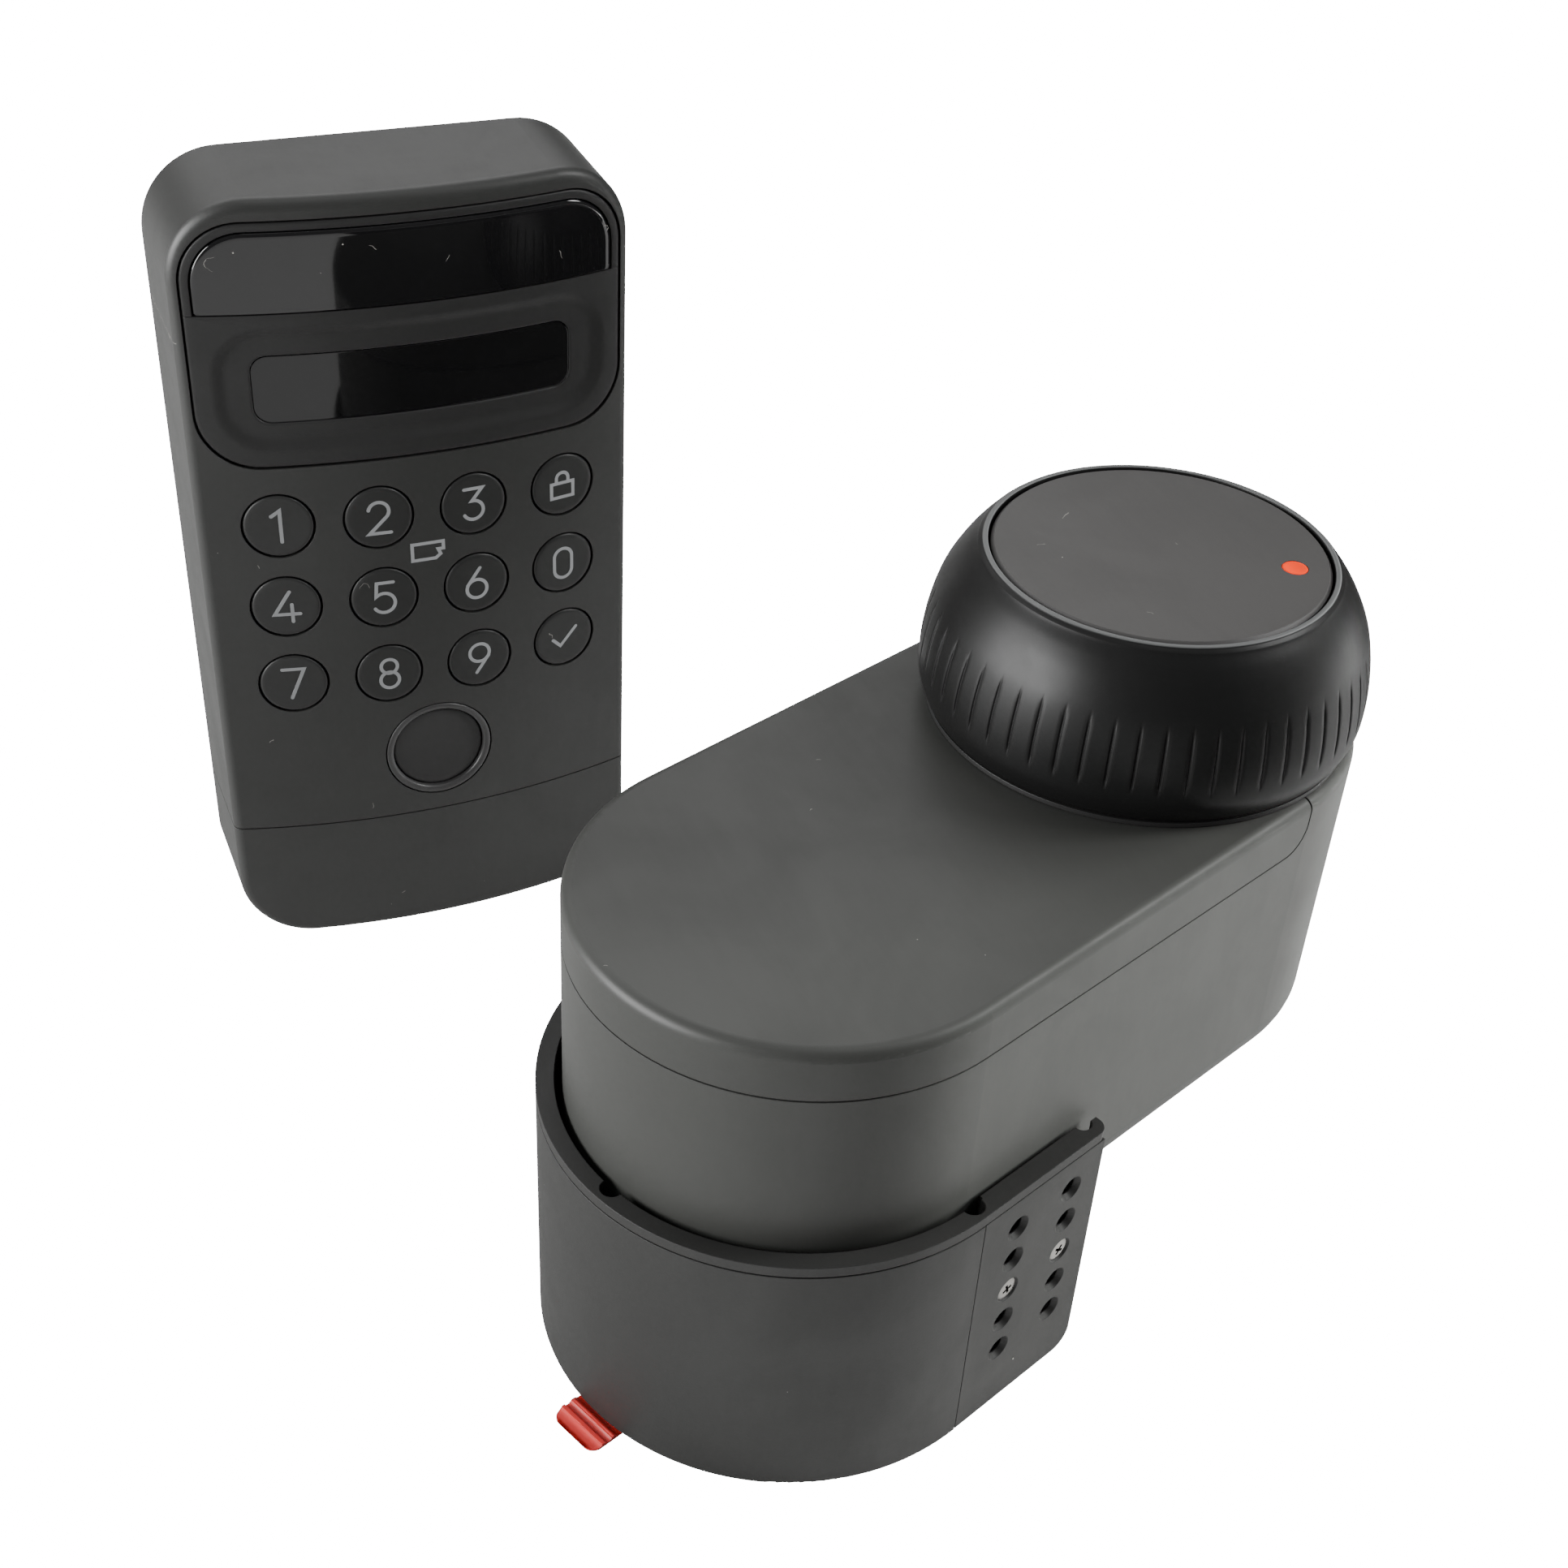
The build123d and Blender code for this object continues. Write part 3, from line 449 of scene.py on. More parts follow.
# ---------------------------------------------------------------- lock body and battery cover
# The body is one deep moulding and the sliding battery cover closes its top. Both are sprayed with a matte
# charcoal soft-feel lacquer, so the surface is very even, with only a faint tooth to it.
shell_charcoal = finish("shell_charcoal", (0.036, 0.037, 0.0345), 0.47, light=1.12, grain=(5200.0, 0.0035),
                        marks=0.06, dust=(0.010, 0.02), edge=0.10, Specular_IOR_Level=0.40)
dress(shell_charcoal, "lock_shell", "underside_cover")
cover_charcoal = finish("cover_charcoal", (0.034, 0.035, 0.0326), 0.47, light=1.12, grain=(5200.0, 0.0035),
                        marks=0.06, dust=(0.012, 0.02), edge=0.10, Specular_IOR_Level=0.40)
dress(cover_charcoal, "battery_cover")

# ---------------------------------------------------------------- battery tray and cells
# A grey moulded tray holds four cells on end between sprung brass strips, under a clip-on lid. The cells are
# sleeved in blue film with a copper band at the top, and their ends are bare steel.
tray_grey = finish("tray_grey", (0.12, 0.12, 0.12), 0.55, light=1.3, grain=(2500.0, 0.008))
dress(tray_grey, "battery_tray", "battery_lid")
contact_brass = finish("contact_brass", (0.62, 0.42, 0.16), 0.32, light=1.2, grain=(1500.0, 0.006),
                       metallic=1.0)
dress(contact_brass, "battery_contacts")

cell_wrap = finish("cell_wrap", (0.05, 0.10, 0.20), 0.25, light=1.3, grain=(900.0, 0.004), marks=0.12)
CELL_BOTTOM, CELL_TOP, COPPER_BAND = 16.9 * mm, 63.7 * mm, 9.0 * mm


def height_on(tree):
    # how far up a point lies, in metres
    return add(tree, "ShaderNodeSeparateXYZ", {0: own_place(tree)}).outputs["Z"]


tree = cell_wrap.node_tree
height = height_on(tree)
laid_over(cell_wrap, maths(tree, "GREATER_THAN", height, CELL_TOP - COPPER_BAND), (0.42, 0.20, 0.07))
sleeve = maths(tree, "COMPARE", height, (CELL_BOTTOM + CELL_TOP) / 2, (CELL_TOP - CELL_BOTTOM) / 2)
bare = maths(tree, "SUBTRACT", 1.0, sleeve)
laid_over(cell_wrap, bare, (0.55, 0.55, 0.54))
tree.links.new(bare, tree.nodes["Principled BSDF"].inputs["Metallic"])
dress(cell_wrap, "batteries")

# ---------------------------------------------------------------- circuit boards
# Etched glass-epoxy boards, green in the lock and in the keypad and blue in the knob. Fine tracks show paler
# through the solder mask.
def board_finish(name, colour):
    made = finish(name, colour, 0.35, light=1.3, grain=(1200.0, 0.004), marks=0.08)
    tree = made.node_tree
    tracks = add(tree, "ShaderNodeTexBrick", {"Vector": own_place(tree), "Scale": 260.0, "Mortar Size": 0.03,
                                              "Bias": 0.1})
    laid_over(made, tracks.outputs["Fac"], [min(1.0, c * 2.6 + 0.02) for c in colour])
    return made


circuit_green = board_finish("circuit_green", (0.012, 0.085, 0.030))
circuit_blue = board_finish("circuit_blue", (0.010, 0.035, 0.12))
dress(circuit_green, "main_board", "keypad_board")
dress(circuit_blue, "quick_key_board")

# ---------------------------------------------------------------- gear train
# The motor's steel pinion drives a white nylon idler, and that the big output gear keyed to the spindle.
# Spindle and shaft are turned steel in sintered bronze bushes, held by a grey glass-filled frame.
nylon_white = finish("nylon_white", (0.72, 0.71, 0.66), 0.42, light=1.08, grain=(2600.0, 0.006),
                     Subsurface_Weight=0.15, Subsurface_Scale=0.002)
dress(nylon_white, "idler_gear", "output_gear")
frame_grey = finish("frame_grey", (0.085, 0.088, 0.092), 0.55, light=1.4, grain=(2200.0, 0.012))
dress(frame_grey, "gear_frame")
motor_steel = finish("motor_steel", (0.58, 0.57, 0.55), 0.34, light=1.15, grain=(1400.0, 0.006), metallic=1.0)
dress(motor_steel, "motor")
gear_steel = finish("gear_steel", (0.50, 0.49, 0.47), 0.30, light=1.2, grain=(2000.0, 0.006), metallic=1.0)
dress(gear_steel, "motor_pinion")
shaft_steel = finish("shaft_steel", (0.60, 0.59, 0.58), 0.22, light=1.12, grain=(3000.0, 0.003), metallic=1.0)
dress(shaft_steel, "idler_shaft", "spindle")
bush_bronze = finish("bush_bronze", (0.45, 0.29, 0.14), 0.45, light=1.25, grain=(2600.0, 0.012), metallic=1.0)
dress(bush_bronze, "spindle_bearings")
magnet_dark = finish("magnet_dark", (0.10, 0.10, 0.105), 0.38, light=1.5, grain=(2400.0, 0.010), metallic=0.8)
dress(magnet_dark, "position_magnet")

# ---------------------------------------------------------------- thumb-turn socket
# The black nylon socket under the knob end slips over the door's thumb turn, and two rubber jaws take up
# the play. Twelve scallops round its wall keep it light.
socket_black = finish("socket_black", (0.022, 0.022, 0.022), 0.48, light=1.4, grain=(2600.0, 0.010), edge=0.2)
dress(socket_black, "thumbturn_socket")
jaw_rubber = finish("jaw_rubber", (0.030, 0.030, 0.030), 0.80, light=1.5, grain=(1600.0, 0.02))
dress(jaw_rubber, "socket_pads")

# ---------------------------------------------------------------- knob
# A barrel-shaped grip moulded in satin black, with 56 short upright grooves below its shoulder and a rim
# round the key whose top is painted light grey as a painted highlight. It turns over a fixed base ring of the
# same plastic.
GRIP_R, GROOVES = 29.4, 56
GROOVE_LOW, GROOVE_HIGH, GROOVE_DEEP, GROOVE_HALF = 77.6, 87.4, 0.17, 0.20
RUN_IN_LOW, RUN_IN_HIGH = 1.6, 2.6
LIP_LOW, LIP_HIGH = 95.02, 95.14


def through(points, steps):
    # a smooth Catmull-Rom curve through (radius, height) points
    ends = [(2 * points[0][0] - points[1][0], 2 * points[0][1] - points[1][1]), *points,
            (2 * points[-1][0] - points[-2][0], 2 * points[-1][1] - points[-2][1])]
    curve = []
    for p0, p1, p2, p3 in zip(ends, ends[1:], ends[2:], ends[3:]):
        for i in range(steps):
            t = i / steps
            curve.append(tuple(0.5 * (2 * b + (c - a) * t + (2 * a - 5 * b + 4 * c - d) * t * t
                                      + (3 * b - a - 3 * c + d) * t ** 3)
                               for a, b, c, d in zip(p0, p1, p2, p3)))
    return curve + [points[-1]]


grip = through([(28.45, 73.4), (29.15, 75.0), (29.5, 76.8), (29.45, 80.2), (28.9, 84.0), (27.9, 87.6),
                (26.4, 90.6), (24.9, 92.85), (23.55, 94.45)], 7)
crown = [(23.46, 94.58), (23.40, 94.66), (23.02, 94.92), (22.94, 95.0), (22.88, 95.12), (22.80, 95.18),
         (22.70, 95.2), (22.40, 95.2), (22.28, 95.16), (22.2, 95.05), (22.2, 93.5), (22.2, 90.2)]
inside = [(16.5, 90.2), (16.5, 88.1), (7.52, 88.0), (7.52, 74.4), (11.0, 74.4), (11.0, 85.6), (24.4, 85.6),
          (26.6, 79.0), (26.4, 73.3), (26.5, 73.2), (28.3, 73.2)]
knob_profile = grip + crown + inside
sector = math.radians(360 / GROOVES)
groove_at = [0.0, 0.35, 0.6, 0.8, 1.0, 1.3]
columns = sorted({s * a * GROOVE_HALF / GRIP_R for a in groove_at for s in (-1, 1)}
                 | {s * a * sector / 2 for a in (0.45, 0.7, 1.0) for s in (-1, 1)})


def smooth_step(x):
    x = min(1.0, max(0.0, x))
    return x * x * (3 - 2 * x)


def groove_depth(angle, z):
    # deepest along its middle, running out at both ends
    off = abs(angle) * GRIP_R / GROOVE_HALF
    ends = smooth_step((z - GROOVE_LOW) / RUN_IN_LOW) * smooth_step((GROOVE_HIGH - z) / RUN_IN_HIGH)
    return GROOVE_DEEP * smooth_step(1.3 - off) * ends


knob_points = []
for angle in columns:
    for i, (radius, z) in enumerate(knob_profile):
        r = radius - (groove_depth(angle, z) if i < len(grip) else 0.0)
        knob_points.append((r * math.cos(angle), r * math.sin(angle), z))
knob_faces = ring_quads(len(columns), len(knob_profile))
knob_black = finish("knob_black", (0.0045, 0.0045, 0.0045), 0.40, light=1.35, grain=(3600.0, 0.0035),
                    marks=0.12, dust=(0.010, 0.0), edge=0.0, Specular_IOR_Level=0.30)
tree = knob_black.node_tree
# painted highlight: above 95.02 mm the rim round the key turns light grey, standing in for the light on its
# rounded top
lip_highlight = add(tree, "ShaderNodeMapRange", {"Value": height_on(tree), "From Min": LIP_LOW * mm,
                                       "From Max": LIP_HIGH * mm})
laid_over(knob_black, lip_highlight.outputs["Result"], (0.095, 0.098, 0.098))
knob_sector = mesh_piece("knob_sector", knob_points, knob_faces, knob_black, smooth=55)

# One sector of the grip copied round Z and welded to its neighbours.
turn_about, given, out = new_group(
    "turn_about_axis", "GeometryNodeTree",
    [("Geometry", "NodeSocketGeometry", None), ("Sector", "NodeSocketObject", None),
     ("Copies", "NodeSocketInt", None), ("Finish", "NodeSocketMaterial", None)],
    [("Geometry", "NodeSocketGeometry")],
)
starts = add(turn_about, "GeometryNodePoints", {"Count": given["Copies"]})
share = maths(turn_about, "DIVIDE", add(turn_about, "GeometryNodeInputIndex").outputs[0], given["Copies"])
heading = add(turn_about, "FunctionNodeAxisAngleToRotation",
              {"Axis": (0, 0, 1), "Angle": maths(turn_about, "MULTIPLY", share, 2 * math.pi)})
pattern = add(turn_about, "GeometryNodeObjectInfo", {"Object": given["Sector"]})
copies = add(turn_about, "GeometryNodeInstanceOnPoints", {"Points": starts.outputs[0],
                                                          "Instance": pattern.outputs["Geometry"],
                                                          "Rotation": heading.outputs[0]})
real = add(turn_about, "GeometryNodeRealizeInstances", {0: copies.outputs[0]})
welded = add(turn_about, "GeometryNodeMergeByDistance", {"Geometry": real.outputs[0],
                                                         "Distance": 0.002 * mm})
moulded = add(turn_about, "GeometryNodeSetMaterial", {"Geometry": welded.outputs[0],
                                                      "Material": given["Finish"]})
turn_about.links.new(moulded.outputs[0], out[0])

knob = put("knob_grip", bpy.data.meshes.new("knob_grip"))
shaped_by(knob, turn_about, Sector=knob_sector, Copies=GROOVES, Finish=knob_black)
bpy.data.objects.remove(knob_sector)
knob.data.transform(Matrix.Translation(Vector(lock_point(KNOB_X, 0, 0)) * mm))
knob.data.shade_smooth()
knob.data.set_sharp_from_angle(angle=math.radians(40))
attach(knob, "drive")
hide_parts("knob_ring")
base_black = finish("base_black", (0.016, 0.016, 0.016), 0.36, light=1.3, grain=(3600.0, 0.004), edge=0.14)
dress(base_black, "knob_base_ring")

# ---------------------------------------------------------------- quick key and its dot
# The flat disc in the knob's top is a press key of dark grey polycarbonate, finely etched. A small orange
# insert, slightly hollow, shows which way the knob points.
quick_key_black = finish("quick_key_black", (0.042, 0.041, 0.040), 0.50, light=1.15, grain=(4200.0, 0.004),
                         marks=0.05, dust=(0.010, 0.03), edge=0.18)
dress(quick_key_black, "quick_key_disc")
DOT_REACH, DOT_ANGLE, DOT_R = 17.0, math.radians(-52.9), 1.70
points, faces = spun([(0, 94.3), (DOT_R, 94.3), (DOT_R, 94.98), (DOT_R - 0.06, 95.07), (DOT_R - 0.18, 95.09),
                      (DOT_R - 0.45, 95.06), (0.6, 94.99), (0, 94.97)])
indicator_orange = finish("indicator_orange", (0.80, 0.035, 0.0), 0.55, light=1.15, grain=(1500.0, 0.006),
                          marks=0.08, edge=0.0, Specular_IOR_Level=0.12)
dot_at = lock_point(KNOB_X + DOT_REACH * math.cos(DOT_ANGLE), DOT_REACH * math.sin(DOT_ANGLE), 0)
dot = mesh_piece("indicator_insert", [(x + dot_at[0], y + dot_at[1], z) for x, y, z in points], faces,
                 indicator_orange, smooth=50)
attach(dot, "quick_key")
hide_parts("indicator_dot")

# ---------------------------------------------------------------- keypad shell and covers
# The keypad's front shell and lower cover are moulded in matte charcoal, its rear cover and wall plate in
# black. The face is bowed about an upright axis, so everything in it follows that curve.
UPRIGHT = (math.radians(90), 0.0, 0.0)
keypad_charcoal = finish("keypad_charcoal", (0.0200, 0.0205, 0.0196), 0.46, light=1.14,
                         grain=(4800.0, 0.0035), marks=0.07, dust=(0.010, 0.02), edge=0.12, turn=UPRIGHT)
dress(keypad_charcoal, "keypad_shell", "lower_cover")
plate_black = finish("plate_black", (0.020, 0.020, 0.020), 0.52, light=1.4, grain=(2600.0, 0.012))
dress(plate_black, "wall_plate", "rear_cover")

PAD_X, PAD_Y, BOW = -20.4, 93.9, 116.0


def pad_point(u, depth, v):
    # u across the face, v up from the floor, and depth behind the bowed face, in millimetres
    return (PAD_X + u, PAD_Y + BOW - math.sqrt(BOW ** 2 - u ** 2) + depth, v)


rear_places = [((PAD_X + u, PAD_Y + 22.1, v), (0, 1, 0), 0.4 + v) for u in (-25.5, 25.5) for v in (30, 88)]
rear_screws = driven_screws("rear_cross_screws", screw_pattern(2.15, 1.2, 9.0, 0.9), rear_places)
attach(rear_screws, "keypad")
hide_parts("rear_screws")

# ---------------------------------------------------------------- upper panel
# A matte black insert fills the top of the face. Its lower half is pressed in as a soft-sided dish round the
# display, and its upper half is cut away for the gloss sensor window, which only its narrow frame surrounds.
def arc_points(cu, cv, r, start, end, steps=20):
    return [(cu + r * math.cos(math.radians(a)), cv + r * math.sin(math.radians(a)))
            for a in stretch(start, (end, steps))]


def rounded_ring(half, low, high, radii, arc=12, run=(40, 14)):
    # a closed outline with a radius for each corner: low right, high right, high left, low left
    corners = ((half, low, -90), (half, high, 0), (-half, high, 90), (-half, low, 180))
    bends = [arc_points(u - math.copysign(r, u), v + (r if v == low else -r), r, start, start + 90, arc)
             for (u, v, start), r in zip(corners, radii)]
    outline = []
    for k, bend in enumerate(bends):
        (u1, v1), (u2, v2), steps = bend[-1], bends[(k + 1) % 4][0], run[1 - k % 2]
        outline += bend + [(u1 + (u2 - u1) * i / steps, v1 + (v2 - v1) * i / steps) for i in range(1, steps)]
    return outline


def loft(rings, joined=False):
    # a skin over outlines of equal length, each at its own depth behind the face
    points = [pad_point(u, depth, v) for outline, depth in rings for u, v in outline]
    return points, ring_quads(len(rings), len(rings[0][0]), joined)


PANEL_HALF, PANEL_LOW, PANEL_HIGH, PANEL_R = 30.45, 84.25, 119.55, 8.4
WINDOW_LOW = 106.9
panel_rings = []
for inset, depth in ((0.0, 1.8), (0.0, 0.32), (0.08, 0.16), (0.24, 0.07), (0.5, 0.05)):
    panel_rings.append((rounded_ring(PANEL_HALF - inset, PANEL_LOW + inset, WINDOW_LOW - 0.03 - inset * 0.2,
                                     (PANEL_R - inset, 0.12, 0.12, PANEL_R - inset)), depth))
DISH_HALF, DISH_LOW, DISH_HIGH, DISH_R = 28.2, 86.2, 105.2, 7.4
for inset, depth in ((0.0, 0.06), (0.35, 0.09), (0.8, 0.20), (1.3, 0.40), (1.8, 0.60), (2.3, 0.71),
                     (2.9, 0.75)):
    panel_rings.append((rounded_ring(DISH_HALF - inset, DISH_LOW + inset, DISH_HIGH - inset * 0.75,
                                     (DISH_R - inset * 0.9,) * 4), depth))
LENS_HALF, LENS_LOW, LENS_HIGH, LENS_R = 22.6, 90.6, 100.6, 2.4
for inset, depth in ((-0.45, 0.76), (-0.2, 0.78), (-0.06, 0.86), (0.0, 1.0), (0.0, 1.36)):
    panel_rings.append((rounded_ring(LENS_HALF - inset, LENS_LOW + inset, LENS_HIGH - inset,
                                     (LENS_R - inset * 0.6,) * 4), depth))
points, faces = loft(panel_rings, joined=True)

# the frame round the window: one section carried up one side, over the top and down the other
WINDOW_HALF, WINDOW_HIGH, WINDOW_R = 29.2, 118.3, 7.2


def frame_path(half, high, r):
    right = [(half, v) for v in stretch(WINDOW_LOW, (high - r, 8))]
    top = [(u, high) for u in stretch(half - r, (-half + r, 40))]
    left = [(-half, v) for v in stretch(high - r, (WINDOW_LOW, 8))]
    return (right + arc_points(half - r, high - r, r, 0, 90, 14)[1:-1] + top
            + arc_points(-half + r, high - r, r, 90, 180, 14)[1:-1] + left)


section = [(0.0, 1.8), (0.0, 0.32), (0.08, 0.16), (0.24, 0.07), (0.45, 0.05), (1.0, 0.05), (1.16, 0.09),
           (1.22, 0.2), (1.22, 1.8)]
paths = [(frame_path(PANEL_HALF - inset, PANEL_HIGH - inset, PANEL_R - inset * 0.97), depth)
         for inset, depth in section]
base, stations = len(points), len(paths[0][0])
points += [pad_point(path[i][0], depth, path[i][1]) for i in range(stations) for path, depth in paths]
faces += [tuple(base + corner for corner in quad) for quad in ring_quads(stations, len(paths))]
faces += [tuple(range(base, base + len(paths))), tuple(range(len(points) - len(paths), len(points)))]
panel_black = finish("panel_black", (0.0110, 0.0110, 0.0110), 0.50, light=1.2, grain=(4200.0, 0.004),
                     marks=0.08, dust=(0.012, 0.03), edge=0.0, turn=UPRIGHT)
panel = mesh_piece("upper_panel", points, faces, panel_black, smooth=48)
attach(panel, "keypad")
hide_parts("inset_panel")

# ---------------------------------------------------------------- sensor window and display lens
# Both are hard-coated acrylic, smoked so dark that the camera and the display only show when lit. The window
# stands level with the face and its edge is polished round; the lens sits at the bottom of the dish.
def sheet_outline(half, low, high, low_r, high_r, run=48, arc=12, side=10):
    # up the right side, back over the top, down the left side and along the bottom; top and bottom share
    # their stops across, so a face closed between them is ruled upright and follows the bow
    wide = max(low_r, high_r)
    stops = [half - wide + wide * math.sin(math.pi / 2 * (1 - i / arc)) for i in range(1, arc)]
    stops += stretch(half - wide, (-half + wide, run))
    stops += [-u for u in reversed(stops[:arc - 1])]

    def edge_height(u, at, r, way):
        # the top (way 1) or bottom (way -1) edge at u, with its corners rounded off
        into = max(0.0, abs(u) - (half - r))
        return at - way * (r - math.sqrt(max(0.0, r * r - into * into)))

    right = [(half, v) for v in stretch(low + low_r, (high - high_r, side))]
    left = [(-half, v) for u, v in reversed(right)]
    return (right + [(u, edge_height(u, high, high_r, 1)) for u in stops] + left
            + [(u, edge_height(u, low, low_r, -1)) for u in reversed(stops)]), len(right), len(stops)


def sheet_piece(name, rings, material):
    # a solid sheet lofted over its rings, with a cap of upright strips at its back and its front
    points, faces = loft([(outline, depth) for (outline, _, _), depth in rings])
    outline, side, top = rings[0][0]
    n = len(outline)
    for start in (0, (len(rings) - 1) * n):
        over = [start + side + i for i in range(top)]
        under = [start + n - 1 - i for i in range(top)]
        faces.append((under[0], *[start + i for i in range(side)], over[0]))
        faces += [(over[i], over[i + 1], under[i + 1], under[i]) for i in range(top - 1)]
        faces.append((over[-1], *[start + side + top + i for i in range(side)], under[-1]))
    return mesh_piece(name, points, faces, material, smooth=35)


window_gloss = finish("window_gloss", (0.0035, 0.0035, 0.0038), 0.045, light=1.5, grain=(300.0, 0.0004),
                      marks=0.05, dust=(0.06, 0.10), edge=0.0, turn=UPRIGHT,
                      Coat_Weight=0.3, Coat_Roughness=0.02)
lens_gloss = finish("lens_gloss", (0.0025, 0.0025, 0.0028), 0.05, light=1.5, grain=(300.0, 0.0004),
                    marks=0.04, dust=(0.02, 0.04), edge=0.0, turn=UPRIGHT)
window_rings = []
for inset, depth in ((0.0, 0.93), (0.0, 0.50), (0.05, 0.32), (0.16, 0.17), (0.34, 0.06), (0.6, 0.01),
                     (0.95, 0.0), (1.1, 0.0)):
    window_rings.append((sheet_outline(WINDOW_HALF - 0.08 - inset, WINDOW_LOW + 0.08 + inset * 0.12,
                                       WINDOW_HIGH - 0.08 - inset, 0.3, WINDOW_R - inset), depth))
window = sheet_piece("gloss_window", window_rings, window_gloss)
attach(window, "keypad")
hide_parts("sensor_window")
lens_rings = [(sheet_outline(LENS_HALF - 0.06 - inset, LENS_LOW + 0.06 + inset, LENS_HIGH - 0.06 - inset,
                             LENS_R - inset, LENS_R - inset), depth)
              for inset, depth in ((0.0, 1.28), (0.0, 1.0), (0.03, 0.94), (0.12, 0.92), (0.25, 0.92))]
lens = sheet_piece("gloss_lens", lens_rings, lens_gloss)
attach(lens, "keypad")
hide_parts("display_lens")
dress(lens_gloss, "camera_module", "display_panel")

# ---------------------------------------------------------------- keys
# Twelve round keycaps in charcoal ABS with a softly rounded edge, each in its own hole with a thin gap
# round it. The signs are pad printed in light grey ink, a little thicker than the lacquer.
KEY_R, KEY_PITCH_U, KEY_PITCH_V, KEY_TOP_V, INK_WIDTH = 4.85, 14.0, 13.3, 75.0, 0.52


def disc_on_face(u0, v0, profile, segments=72):
    # (radius, depth) points turned about a line square to the wall; near the face they follow its bow, and
    # from 1 mm behind it they are flat
    turned, faces = spun(profile, segments)
    points = []
    for across, up, depth in turned:
        x, y, z = pad_point(u0 + across, depth, v0 + up)
        points.append((x, pad_point(u0, depth, v0)[1] if depth > 1.0 else y, z))
    return points, faces


SIX = [[(0.55, 2.5), (-1.33, -0.12)] + arc_points(0.0, -0.98, 1.55, 147, 507, 40)]
SIGNS = {
    "0": [arc_points(0, 1.05, 1.45, 0, 180, 18) + arc_points(0, -1.05, 1.45, 180, 360, 18) + [(1.45, 1.05)]],
    "1": [[(-0.95, 1.62), (0.25, 2.5), (0.25, -2.5)]],
    "2": [arc_points(-0.02, 1.02, 1.47, 168, -38, 22) + [(-1.5, -2.5), (1.62, -2.5)]],
    "3": [[(-1.42, 2.5), (1.35, 2.5), (-0.28, 0.52)] + arc_points(-0.1, -0.98, 1.52, 84, -152, 24)],
    "4": [[(0.5, 2.5), (-1.8, -1.25), (1.8, -1.25)], [(0.72, 0.35), (0.72, -2.5)]],
    "5": [[(1.4, 2.5), (-1.05, 2.5), (-1.22, 0.28)] + arc_points(-0.08, -0.88, 1.62, 128, -148, 24)],
    "6": SIX,
    "7": [[(-1.6, 2.5), (1.55, 2.5), (-0.5, -2.5)]],
    "8": [arc_points(0, 1.28, 1.22, -90, 270, 32), arc_points(0, -1.12, 1.4, 90, 450, 36)],
    "9": [[(-u, -v) for u, v in SIX[0]]],
    "lock": [[(-1.75, 0.35), (1.75, 0.35), (1.75, -2.0), (-1.75, -2.0), (-1.75, 0.35)],
             [(-0.95, 0.4)] + arc_points(0, 1.1, 0.95, 180, 0, 16) + [(0.95, 0.4)]],
    "check": [[(-1.85, -0.05), (-0.6, -1.35), (2.05, 1.5)]],
    "card": [[(-2.3, -1.35), (-2.3, 1.3), (2.35, 1.3), (2.35, 0.1), (1.55, 0.1), (1.9, -0.75), (1.15, -1.35),
              (-2.3, -1.35)]],
}


def strokes(u0, v0, lines, ink, depth, raised=0.03, buried=0.05):
    # pen strokes of one width, each a closed shell that follows the bow: open ones have round ends
    points, faces = [], []
    for line in lines:
        closed = math.dist(line[0], line[-1]) < 1e-6
        line = line[:-1] if closed else line
        count = len(line)
        left, right = [], []
        for i, (u, v) in enumerate(line):
            before = line[i - 1] if closed or i > 0 else line[0]
            after = line[(i + 1) % count] if closed or i < count - 1 else line[-1]
            d1, d2 = Vector((u - before[0], v - before[1])), Vector((after[0] - u, after[1] - v))
            d1 = d1.normalized() if d1.length > 1e-9 else d2.normalized()
            d2 = d2.normalized() if d2.length > 1e-9 else d1
            mid = (d1 + d2).normalized()
            side = Vector((-mid.y, mid.x)) * (ink / 2) / max(0.35, mid.dot(d1))
            left.append((u + side.x, v + side.y))
            right.append((u - side.x, v - side.y))
        if closed:
            edges = [left, list(reversed(right))]
            caps = []
        else:
            caps = [[], []]
            for k, ((u, v), (pu, pv)) in enumerate(((line[-1], line[-2]), (line[0], line[1]))):
                facing = math.degrees(math.atan2(v - pv, u - pu))
                caps[k] = arc_points(u, v, ink / 2, facing + 90, facing - 90, 8)[1:-1]
            edges = [left + caps[0] + list(reversed(right)) + caps[1]]
        base = len(points)
        number = sum(len(edge) for edge in edges)
        for level in (depth - raised, depth + buried):
            points.extend(pad_point(u0 + u, level, v0 + v) for edge in edges for u, v in edge)
        half = len(caps[0]) if caps else 0
        far = 2 * count - 1 + half
        strips = [(i, (i + 1) % count, far - (i + 1) % count, far - i)
                  for i in range(count if closed else count - 1)]
        if not closed:
            strips.append(tuple(range(count - 1, count + half + 1)))
            strips.append((*range(far, number), 0))
        faces.extend(tuple(base + i for i in strip) for strip in strips)
        faces.extend(tuple(base + number + i for i in reversed(strip)) for strip in strips)
        start = base
        for edge in edges:
            n = len(edge)
            faces.extend((start + i, start + number + i, start + number + (i + 1) % n, start + (i + 1) % n)
                         for i in range(n))
            start += n
    return points, faces


def ink_piece(name, u0, v0, lines, depth, material):
    points, faces = strokes(u0, v0, lines, INK_WIDTH, depth)
    return mesh_piece(name, points, faces, material, smooth=40, weld=0.0)


